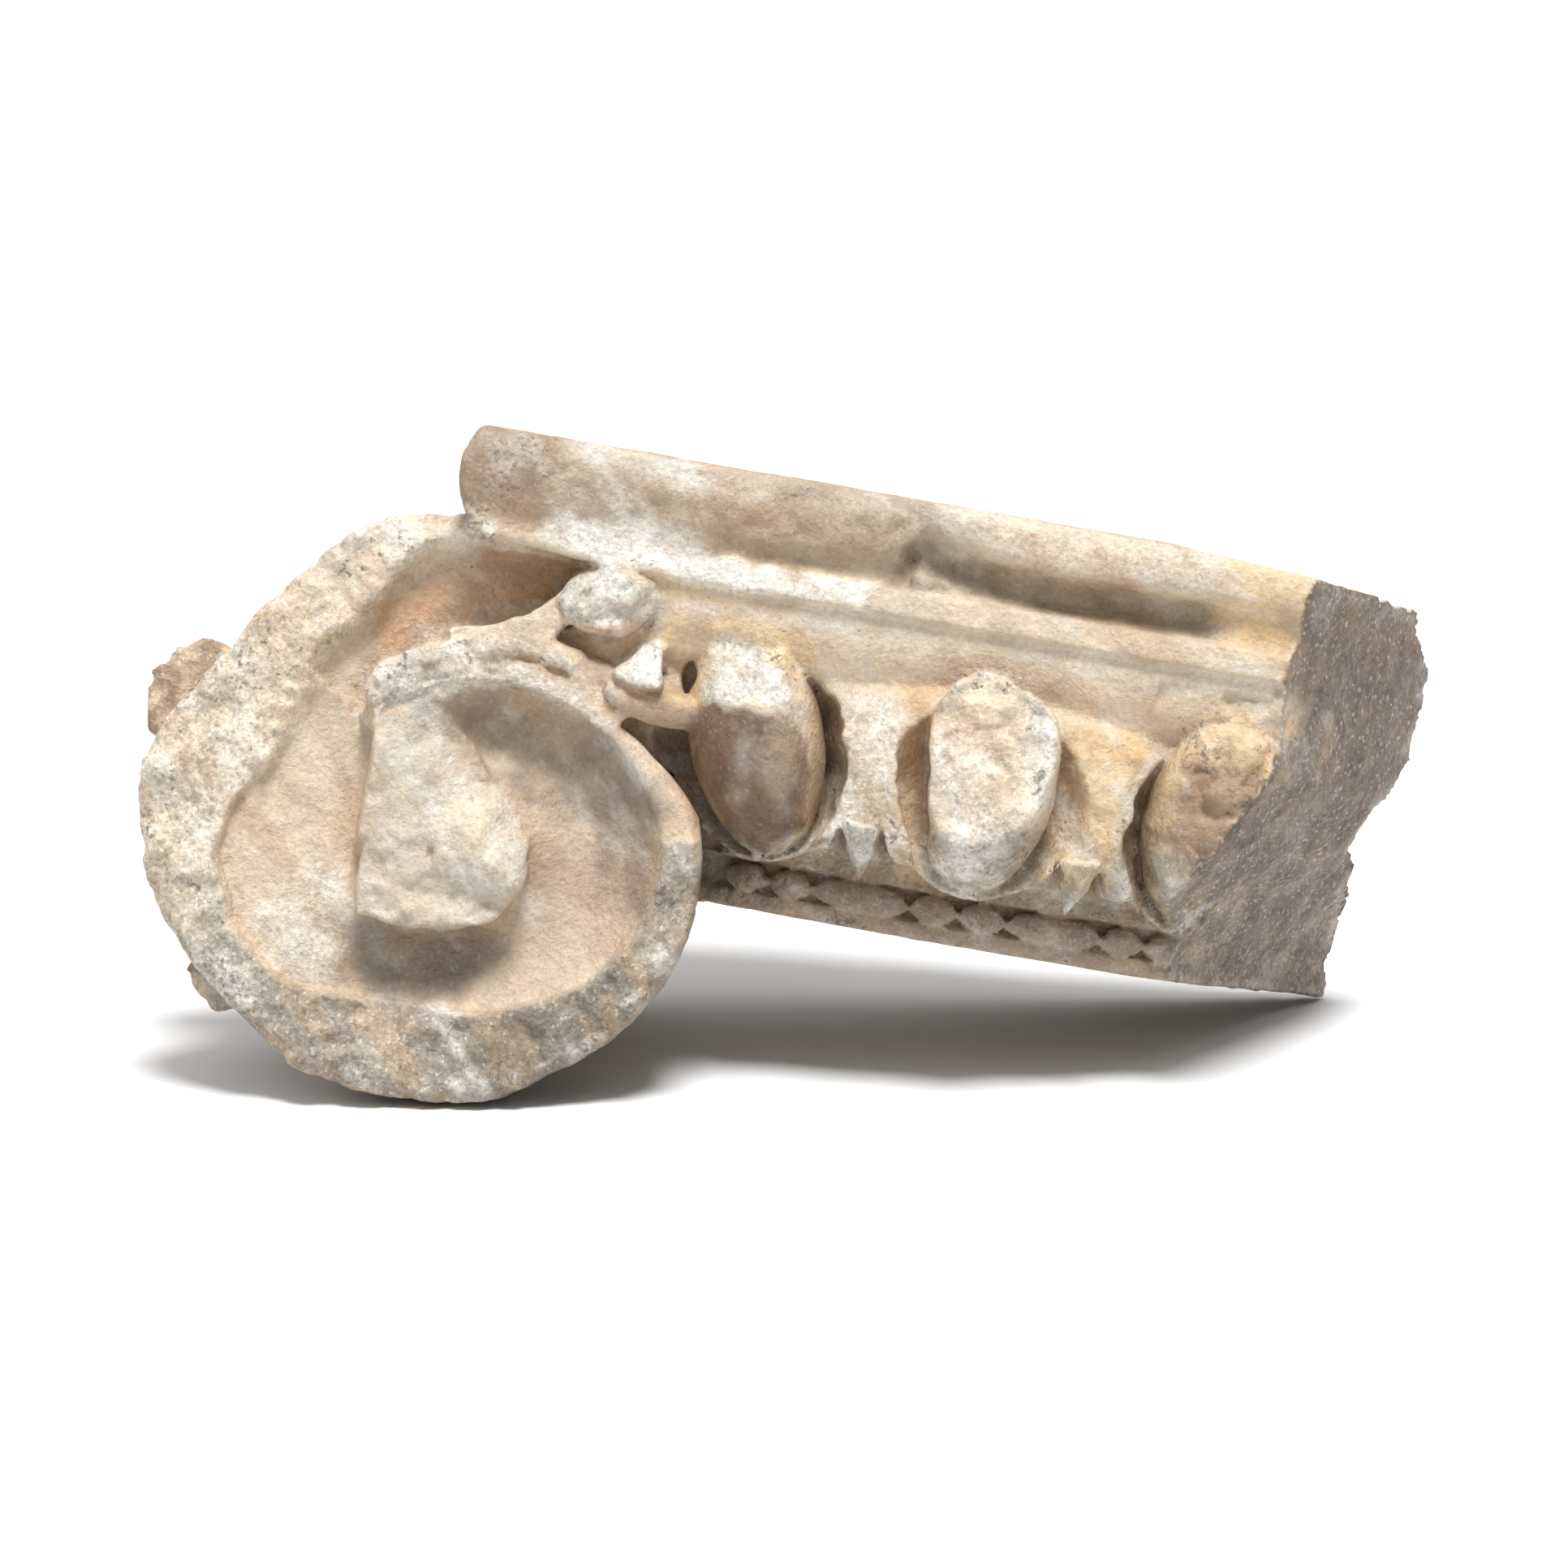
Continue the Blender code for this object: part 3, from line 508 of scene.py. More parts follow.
def break_eggs(block, grit):
    """Breaks away the fronts of the eggs."""
    def middle_face(x, y, z):
        plane = -7.5 - 0.06 * (x + 5.0) + 0.05 * (z - 70.0) + 2.6 * grit(x, 0, z, 15.0, 4, 0.6)
        return y - plane

    block.cut((-34, -40, 22), (40, 40, 124), middle_face, 0.8)

    def first_face(x, y, z):
        plane = -2.0 + 0.42 * (z - 87.0) - 0.10 * (x + 100.0) + 2.2 * grit(x, 5, z, 15.0, 4, 0.6)
        edge = 84.0 - 0.10 * (x + 100.0) + 1.6 * grit(x, 26, z, 9.0, 3)
        return np.maximum(y - np.minimum(plane, field_depth(z) - 0.4), edge - z)

    block.cut((-142, -50, 76), (-72, 60, 126), first_face, 2.0)

    def dent(x, y, z):
        return ellipsoid(x + 110.0, y + 15.0, z - 86.0, (9.0, 8.0, 5.0))

    block.cut((-126, -30, 76), (-94, 10, 96), dent, 3.0)

    def last_face(x, y, z):
        plane = 2.0 - 0.10 * (x - 90.0) + 0.04 * (z - 70.0) + 4.2 * grit(x, 9, z, 17.0, 4, 0.6)
        return y - plane

    block.cut((64, -40, 22), (140, 50, 124), last_face, 1.0)


def polar(x, z):
    """Distance from the volute's eye, and angle round it in degrees."""
    dx, dz = x - EYE[0], z - EYE[1]
    return np.sqrt(dx * dx + dz * dz), np.degrees(np.arctan2(dz, dx)) % 360.0


def floor_depth(r, a):
    """Depth of the channel and of the dish inside the inner whorl."""
    whorl = (a > 56.9) & (a < 143.0)
    inner = np.where(whorl, DISH_RADIUS, table(RIM_INNER, a))
    deep = table(FLOOR_DEPTH, a)
    wall = table(WALL_TOP, a)
    ramp = table(RAMP, a)
    rise = np.clip((r - 0.62 * inner) / (0.38 * inner), 0.0, 1.0)
    bowl = deep - (deep - wall) * rise ** 1.8
    bowl = mix(bowl, deep, whorl * ease(r, 74.0, 77.0))
    depth = mix(ramp, bowl, ease(r, 18.0, 46.0))
    rising = ease(a, 92.0, 134.0) * ease(a, 200.0, 180.0) * ease(r, 72.0, 66.0)
    return mix(depth, 8.0, rising * ease(EYE[0] + r * np.cos(np.radians(a)), -253.0, -250.0))


def carve_volute(block, grit):
    """The volute and its bolster, then the inner whorl's band, the platform and the trough."""
    low, high = (-366, -24, -107), (-88, 230, 152)

    def plate(x, y, z):
        r, a = polar(x, z)
        worn = ease(a, 97.0, 112.0) * ease(a, 262.0, 246.0)
        outline = table(OUTLINE, a) + worn * 2.4 * grit(x, 31, z, 27.0, 2, 0.5)
        depths, shares, rings = zip(*BOLSTER)
        lump = table(RING_LEFT, a) * (1.0 + 0.10 * grit(x, y, z, 13.0, 4, 0.6))
        side = r - outline * np.interp(y, depths, shares) - lump * np.interp(y, depths, rings)
        inner = table(RIM_INNER, a)
        ground = floor_depth(r, a)
        rim = table(RIM_DEPTH, a) + 3.2 * grit(x, 2, z, 21.0, 4, 0.6)
        inside = (a > 14) & (a < 57)
        rim = np.where(inside, table(RIM_DEPTH, a), rim)
        lip = table(LIP, a)
        front = mix(ground, np.minimum(rim, ground), ease(r, inner - lip, inner + 0.7 * lip + 1.2))
        return soft_max((front - y) * 0.9, side * 0.97, 7.0)

    block.add(low, high, plate)

    def band(x, y, z):
        r, a = polar(x, z)
        outer = table(BAND_OUTER, a)
        crown = 7.0 + 1.2 * grit(x, 4, z, 9.0, 3)
        line = 1.6 * np.exp(-(((r - 73.2) / 0.9) ** 2))
        beyond = r * np.sin(np.radians(a - 136.0))
        before = r * np.sin(np.radians(40.0 - a))
        ends = np.where((a > 20) & (a < 200), np.maximum(beyond, before), 50.0)
        face = crown + line - y
        across = soft_max(face, np.maximum(DISH_RADIUS - r, r - outer), 1.6)
        return soft_max(across, np.maximum(ends, y - 45.0), 2.0)

    block.add((-275, 0, 40), (-110, 60, 110), band, 0.8)

    def platform(x, y, z):
        crown = 6.0 - 0.05 * (x + 215) + 3.0 * grit(x, 6, z, 17.0, 4, 0.6)
        crown = crown + 0.34 * np.maximum(0.6 * (x + 215.0) + 0.8 * (z - 18.0), 0.0)
        crown = crown + 2.6 * ease(x + 0.1 * z, -236.0, -241.0) * ease(z, 30.0, 20.0)
        for height, across, up, wide, high, steep in SWELLINGS:
            spot = ((x - across) / wide) ** 2 + ((z - up) / high) ** 2
            crown = crown + height * np.exp(-(spot ** steep))
        edge = polygon(x, z, PLATFORM) + 0.9 * grit(x, 8, z, 6.0, 2)
        return soft_max(crown - y, np.maximum(edge, y - 46.0), 2.5)

    block.add((-265, -10, -40), (-170, 60, 75), platform, 4.0)

    def trough(x, y, z):
        r, a = polar(x, z)
        side = np.maximum(np.maximum(70.0 - r, r - 93.0), np.maximum(52.0 - a, a - 108.0))
        return np.maximum(8.2 + 0.25 * np.maximum(r - 80.0, 0.0) + 1.0 * grit(x, 18, z, 9.0, 3) - y, side)

    block.add((-235, 4, 40), (-120, 60, 110), trough, 1.5)


# The palmette's pieces, seen straight on
RIDGE = [
    (-258, 63), (-255, 75), (-246, 81), (-231, 88), (-220, 95), (-205, 102), (-198, 105), (-189, 113),
    (-179, 126), (-172, 132), (-162, 132), (-166, 120), (-176, 108), (-183, 101), (-185, 97), (-172, 94.5),
    (-160, 90), (-158, 81), (-166, 83.5), (-180, 86), (-192, 88), (-204, 88.5), (-216, 85), (-231, 80),
    (-246, 71),
]
LUMP = [
    (-181, 124), (-172, 133), (-160, 135), (-150, 131), (-143, 122), (-143, 116), (-147, 112),
    (-152, 106.5), (-158, 103), (-166, 101), (-175, 103), (-181, 106.5), (-187, 113),
]
CHIP = [
    (-158, 87), (-150, 98), (-146, 103.5), (-142, 108), (-139.5, 101), (-138, 92), (-136, 85), (-147, 83),
]
STEM = [
    (-146, 130), (-141, 118), (-141, 106), (-138, 95), (-136, 82), (-121, 82), (-122, 98), (-118, 110),
    (-110, 121), (-104, 127), (-110, 131),
]
HEART = [(-190, 96), (-178, 106), (-154, 114), (-142, 116), (-136, 106), (-142, 90), (-172, 90)]
LEAF = [
    (-161, 80), (-159, 86.5), (-148, 86), (-137, 85.5), (-132, 85), (-127, 84), (-119, 83), (-112, 79),
    (-110, 74), (-118, 70.5), (-130, 69.5), (-140, 69.5), (-148, 71), (-155, 75),
]


def carve_palmette(block, grit):
    """The broken half-palmette between the volute and the first egg."""

    def plate(outline, crown, back, edge=0.5, soft=3.0):
        def shape(x, y, z):
            side = polygon(x, z, outline) + edge * grit(x, 11, z, 6.0, 2)
            return soft_max(crown(x, z) - y, np.maximum(side, y - back), soft)

        xs, zs = zip(*outline)
        return (min(xs) - 5, -18, min(zs) - 5), (max(xs) + 5, back + 3, max(zs) + 5), shape

    def ridge(x, z):
        return 5.0 + 1.3 * grit(x, 12, z, 11.0, 3) + 4.0 * ease(x, -190.0, -160.0) * ease(z, 100.0, 92.0)

    def lump(x, z):
        ridge_line = z - 119.0 - 0.45 * (x + 163.0)
        fall = 0.30 * np.abs(ridge_line) + 0.05 * np.abs(x + 165.0)
        return -2.5 + fall + 3.2 * grit(x, 13, z, 12.0, 4, 0.6)

    def chip(x, z):
        return 1.5 + 0.35 * (z - 85.0) + 2.0 * grit(x, 14, z, 9.0, 3, 0.6)

    def heart(x, z):
        return 14.0 - 0.16 * (x + 170.0) + 1.2 * grit(x, 19, z, 7.0, 3)

    def stem(x, z):
        groove = 7.0 * np.exp(-(((x + 127 - 0.1 * (z - 110)) / 5.0) ** 2)) * ease(z, 90.0, 104.0)
        return 13.0 + 0.35 * (x + 140.0) + groove + 1.0 * grit(x, 15, z, 5.0, 3)

    def leaf(x, z):
        bulge = 0.05 * (z - 78.0) ** 2
        return 6.0 + 0.12 * (x + 140.0) + bulge + 0.5 * grit(x, 16, z, 12.0, 2)

    block.add(*plate(HEART, heart, 45.0, 0.4, 2.0), 2.0)
    block.add(*plate(STEM, stem, 45.0, 0.4, 3.0), 2.0)
    block.add(*plate(RIDGE, ridge, 45.0, 0.8, 2.5), 1.0)
    block.add(*plate(LUMP, lump, 45.0, 1.0, 5.0), 1.5)
    block.add(*plate(CHIP, chip, 45.0, 0.6, 1.5), 1.0)
    block.add(*plate(LEAF, leaf, 50.0, 0.3, 4.0), 1.0)

    def drilled(x, y, z):
        oval = np.sqrt(((x + 127) / 3.0) ** 2 + ((z - 92) / 7.0) ** 2) * 3.0 - 3.0
        return np.maximum(oval + 0.5 * grit(x, 17, z, 4.0, 2), y - 26.0)

    block.cut((-136, -20, 80), (-118, 65, 104), drilled, 1.0)


def rough(point):
    """The roughness that the solid's fractures have, in millimetres."""
    return ROUGHNESS * noise.fractal(point / ROUGH_SCALE + ROUGH_SEED, 0.9, 2.1, 3)


def facets(first, second, place):
    """Roughness at the corners of a coarse net, as the solid's fractures have it."""
    return np.array([[rough(Vector(place(float(u), float(v)))) for v in second] for u in first])


def between(first, second, values, u, v):
    """Values of a net read between its corners."""
    i = np.clip((u - first[0]) / (first[1] - first[0]), 0, len(first) - 1.001)
    j = np.clip((v - second[0]) / (second[1] - second[0]), 0, len(second) - 1.001)
    a, b = i.astype(int), j.astype(int)
    p, q = i - a, j - b
    near = values[a, b] * (1 - q) + values[a, b + 1] * q
    far = values[a + 1, b] * (1 - q) + values[a + 1, b + 1] * q
    return near * (1 - p) + far * p


def break_ends(block, grit):
    """Breaks the stone off at the right and at the back."""
    first = np.arange(-60.0, 330.0, FACET)
    second = np.arange(-150.0, 220.0, FACET)
    net = facets(first, second, lambda y, z: (float(curve(END_FACE, z)) + END_SLOPE * y, y, z))

    def end(x, y, z):
        y2, z2 = np.broadcast_arrays(y[0], z[0])
        face = curve(END_FACE, z2) + END_SLOPE * y2 + between(first, second, net, y2, z2)
        face = face + 1.7 * grit(0, y2, z2, 15.0, 4, 0.6) - 0.8
        return -(x - face[None])

    block.far = np.maximum(block.far, -end(*block.window(*everywhere())[1:]).astype(np.float32))
    wide = FACET * 1.3
    third = np.arange(-420.0, 360.0, wide)
    fourth = np.arange(-180.0, 220.0, wide)

    def depth(x, z):
        heights, lefts, rights = zip(*BACK_FACE)
        share = ease(x, *BACK_SPAN)
        return mix(np.interp(z, heights, lefts), np.interp(z, heights, rights), share)

    back_net = facets(third, fourth, lambda x, z: (x, float(depth(np.float64(x), z)), z))

    def back(x, y, z):
        x2, z2 = np.broadcast_arrays(x[:, 0], z[0])
        face = depth(x2, z2) + between(third, fourth, back_net, x2, z2)
        face = face + 1.8 * grit(x2, 50, z2, 17.0, 3, 0.6) - 0.8
        return y - face[:, None, :]

    block.far = np.maximum(block.far, back(*block.window(*everywhere())[1:]).astype(np.float32))


# Broken and worn parts of the front, seen straight on, with the height of their roughness
BROKEN = [
    ([(-240, 186), (-36, 186), (-38, 172), (-30, 163), (-12, 158), (-45, 150), (-130, 144),
      (-240, 144)], 1.1),
    ([(-258, 66), (-250, 44), (-249, -24), (-228, -31), (-188, -21), (-178, 4), (-195, 30),
      (-240, 70)], 0.9),
    ([(-20, 112), (10, 114), (28, 96), (28, 62), (4, 31), (-10, 29), (-20, 60)], 0.5),
    ([(-122, 118), (-88, 118), (-72, 84), (-90, 86), (-118, 86)], 0.8),
    ([(-61, 98), (-38, 98), (-33, 34), (-62, 34)], 0.7),
    ([(31, 92), (66, 92), (66, 36), (30, 36)], 0.8),
    ([(74, 112), (126, 122), (126, 30), (88, 30)], 1.1),
    ([(-204, 104), (-172, 134), (-142, 130), (-140, 84), (-160, 82), (-204, 92)], 0.8),
    ([(-262, 66), (-246, 84), (-200, 96), (-156, 84), (-160, 68), (-200, 79), (-250, 58)], 0.8),
]


def roughen(block, grit):
    """Adds grain to the skin: coarse on breaks, faint on dressed faces."""
    near = np.flatnonzero(np.abs(block.far.ravel()) < 6.0)
    shape = block.far.shape
    i, j, k = np.unravel_index(near, shape)
    x, y, z = block.x[i], block.y[j], block.z[k]
    flat_x, flat_z = np.meshgrid(block.x, block.z, indexing="ij")
    height = np.full(flat_x.shape, 0.16, np.float32)
    r, a = polar(flat_x, flat_z)
    rim = ease(r, table(RIM_INNER, a) - 1.0, table(RIM_INNER, a) + 4.0) * ((a > 97) | (a < 12))
    height = np.maximum(height, rim * np.where((a > 250) | (a < 12), 0.6, 1.2))
    for outline, size in BROKEN:
        height = np.maximum(height, size * ease(polygon(flat_x, flat_z, outline), 2.0, -3.0))
    amount = height[i, k]
    amount = mix(amount, 1.5, ease(y, 45.0, 60.0))
    amount = mix(amount, 1.7, ease(x - curve(END_FACE, z) - END_SLOPE * y, -9.0, -4.0))
    bed = (z < 3.0) & (x > -105.0)
    flat = bed | (z > 176.0)
    amount = np.where(flat, amount * 0.25, amount)
    fine = grit(x, y, z, 7.5, 3, 0.6)
    block.far.ravel()[near] += (amount * fine).astype(np.float32)


def skin(block):
    """The surface where the distance is nil, as points and quads: one point in each cell it crosses."""
    inside = block.far < 0.0
    shape = np.array(inside.shape) - 1
    count = np.zeros(shape, np.int8)
    for i, j, k in CORNERS:
        count += inside[i : i + shape[0], j : j + shape[1], k : k + shape[2]]
    cells = np.argwhere((count > 0) & (count < 8))
    index = np.full(shape, -1, np.int32)
    index[tuple(cells.T)] = np.arange(len(cells))
    places = (block.x, block.y, block.z)
    total = np.zeros((len(cells), 3))
    hits = np.zeros(len(cells))
    for axis in range(3):
        for corner in CORNERS:
            if corner[axis]:
                continue
            one = cells + corner
            two = one.copy()
            two[:, axis] += 1
            a = block.far[tuple(one.T)]
            b = block.far[tuple(two.T)]
            crossed = (a < 0) != (b < 0)
            share = np.where(crossed, a / np.where(crossed, a - b, 1.0), 0.0)
            for other in range(3):
                here = places[other][one[:, other]]
                there = places[other][two[:, other]]
                total[:, other] += np.where(crossed, here + share * (there - here), 0.0)
            hits += crossed
    points = total / hits[:, None]
    quads = []
    for axis in range(3):
        b_axis, c_axis = (axis + 1) % 3, (axis + 2) % 3
        low = [slice(1, -1)] * 3
        low[axis] = slice(0, -1)
        high = list(low)
        high[axis] = slice(1, None)
        a, b = inside[tuple(low)], inside[tuple(high)]
        for found, turned in ((a & ~b, False), (~a & b, True)):
            at = np.argwhere(found)
            at[:, b_axis] += 1
            at[:, c_axis] += 1
            ring = []
            for db, dc in ((1, 1), (0, 1), (0, 0), (1, 0)):
                cell = at.copy()
                cell[:, b_axis] -= db
                cell[:, c_axis] -= dc
                ring.append(index[tuple(cell.T)])
            ring = np.stack(ring, 1)
            quads.append(ring[:, ::-1] if turned else ring)
    return points, np.concatenate(quads)


def laid_down():
    """From the upright frame in millimetres to the frame in metres, as the solid lies."""
    mount = next(m for m in frame["record"]["mounts"] if m["name"] == "abacus_top")
    up = Vector(mount["axis"]).normalized()
    roll = math.asin(up.x)
    pitch = math.atan2(-up.y, up.z)
    turn = Matrix.Rotation(pitch, 4, "X") @ Matrix.Rotation(roll, 4, "Y")
    place = turn @ Matrix.Diagonal((MM, MM, MM, 1.0))
    shift = Vector(mount["pos_m"]) - place @ TOP_MOUNT
    return Matrix.Translation(shift) @ place


def new_mesh(name, points, faces):
    mesh = bpy.data.meshes.new(name)
    mesh.vertices.add(len(points))
    mesh.vertices.foreach_set("co", np.asarray(points, np.float32).ravel())
    mesh.loops.add(faces.size)
    mesh.loops.foreach_set("vertex_index", faces.astype(np.int32).ravel())
    mesh.polygons.add(len(faces))
    mesh.polygons.foreach_set("loop_start", np.arange(0, faces.size, faces.shape[1], dtype=np.int32))
    mesh.update(calc_edges=True)
    mesh.validate()
    obj = bpy.data.objects.new(name, mesh)
    bpy.context.scene.collection.objects.link(obj)
    return obj


def hold_in(obj, low, high):
    """Keeps every point of a mesh in a box."""
    points = np.empty(len(obj.data.vertices) * 3, np.float32)
    obj.data.vertices.foreach_get("co", points)
    points = np.clip(points.reshape(-1, 3), np.array(low), np.array(high))
    obj.data.vertices.foreach_set("co", points.astype(np.float32).ravel())
    obj.data.update()


def select_only(obj):
    bpy.ops.object.select_all(action="DESELECT")
    obj.select_set(True)
    bpy.context.view_layer.objects.active = obj


def carve_stone():
    """The whole stone. The order counts, because later forms cut or cover earlier ones."""
    grit = Grit(41)
    block = Block()
    carve_abacus(block)
    carve_echinus(block, grit)
    carve_darts(block)
    carve_beads(block)
    break_eggs(block, grit)
    carve_volute(block, grit)
    carve_palmette(block, grit)
    roughen(block, grit)
    break_ends(block, grit)
    return block


def capital_points(obj):
    """A mesh's points and normals in the upright frame, in millimetres."""
    back = laid_down().inverted()
    count = len(obj.data.vertices)
    points = np.empty(count * 3, np.float32)
    normals = np.empty(count * 3, np.float32)
    obj.data.vertices.foreach_get("co", points)
    obj.data.vertex_normals.foreach_get("vector", normals)
    turn = np.array(back.to_3x3())
    points = points.reshape(-1, 3) @ turn.T + np.array(back.translation)
    normals = normals.reshape(-1, 3) @ turn.T
    return points, normals / np.maximum(np.linalg.norm(normals, axis=1, keepdims=True), 1e-9)


def read_block(block, points):
    """The block's distance at points, read between its grid."""
    low, share = [], []
    for axis, value in zip((block.x, block.y, block.z), points.T):
        place = np.interp(value, axis, np.arange(len(axis)))
        floor = np.minimum(place.astype(int), len(axis) - 2)
        low.append(floor)
        share.append(place - floor)
    return read_lattice(block.far, low, share)


def hollows(block, points, normals):
    """How far each point lies in a hollow, and how far it stands on an edge, 0 to 1."""
    closed = 0.0
    sharp = 0.0
    for reach in REACHES:
        outside = read_block(block, points + normals * reach) / reach
        inside = -read_block(block, points - normals * reach) / reach
        closed = closed + (1.0 - np.clip(outside, 0.0, 1.0)) / 3.0
        sharp = sharp + (1.0 - np.clip(inside, 0.0, 1.0)) / 3.0
    return closed, sharp


def srgb(red, green, blue):
    """A colour as a screen shows it, from 0 to 255, as linear light."""
    share = np.array([red, green, blue]) / 255.0
    return np.where(share <= 0.04045, share / 12.92, ((share + 0.055) / 1.055) ** 2.4)


# The colours; all are made a little deeper at the end
DEEPEN = 0.82
WORN = srgb(166, 149, 129)
CREAM = srgb(216, 199, 174)
TAN = srgb(203, 177, 146)
ORANGE = srgb(206, 163, 110)
YELLOW = srgb(220, 192, 146)
WHITE = srgb(219, 213, 203)
PALE = srgb(214, 204, 190)
GREY = srgb(176, 167, 154)
ASH = srgb(150, 140, 127)
BROWN = srgb(160, 132, 104)
UMBER = srgb(112, 92, 74)
CHESTNUT = srgb(112, 84, 60)
DUSK = srgb(110, 99, 88)
ROSE = srgb(188, 168, 148)
GREEN = srgb(116, 110, 98)
SHADE = srgb(98, 86, 74)
BRIGHT = srgb(246, 241, 231)
CLAY = srgb(192, 152, 116)
MAUVE = srgb(146, 130, 115)
BARK = mix(UMBER, SHADE, 0.3)
# grey for the painted shadow that the platform casts on the channel floor
PLATFORM_SHADOW_GREY = mix(DUSK, MAUVE, 0.6)
IVORY = mix(CREAM, WHITE, 0.6)
BISCUIT = mix(CREAM, TAN, 0.6)
OYSTER = mix(CREAM, BRIGHT, 0.35)
LINEN = mix(PALE, WORN, 0.4)
EARTH = mix(BROWN, WORN, 0.4)
LOAM = mix(BROWN, UMBER, 0.3)

# Outlines that are painted more than once
BED_BAND = [(-110, 21), (112, 21), (104, -4), (-110, -4)]
TOP_LEFT = [(-240, 186), (-196, 186), (-200, 142), (-240, 142)]
FAR_LEFT = [(-300, 142), (-228, 142), (-228, 122), (-262, 100), (-300, 100)]
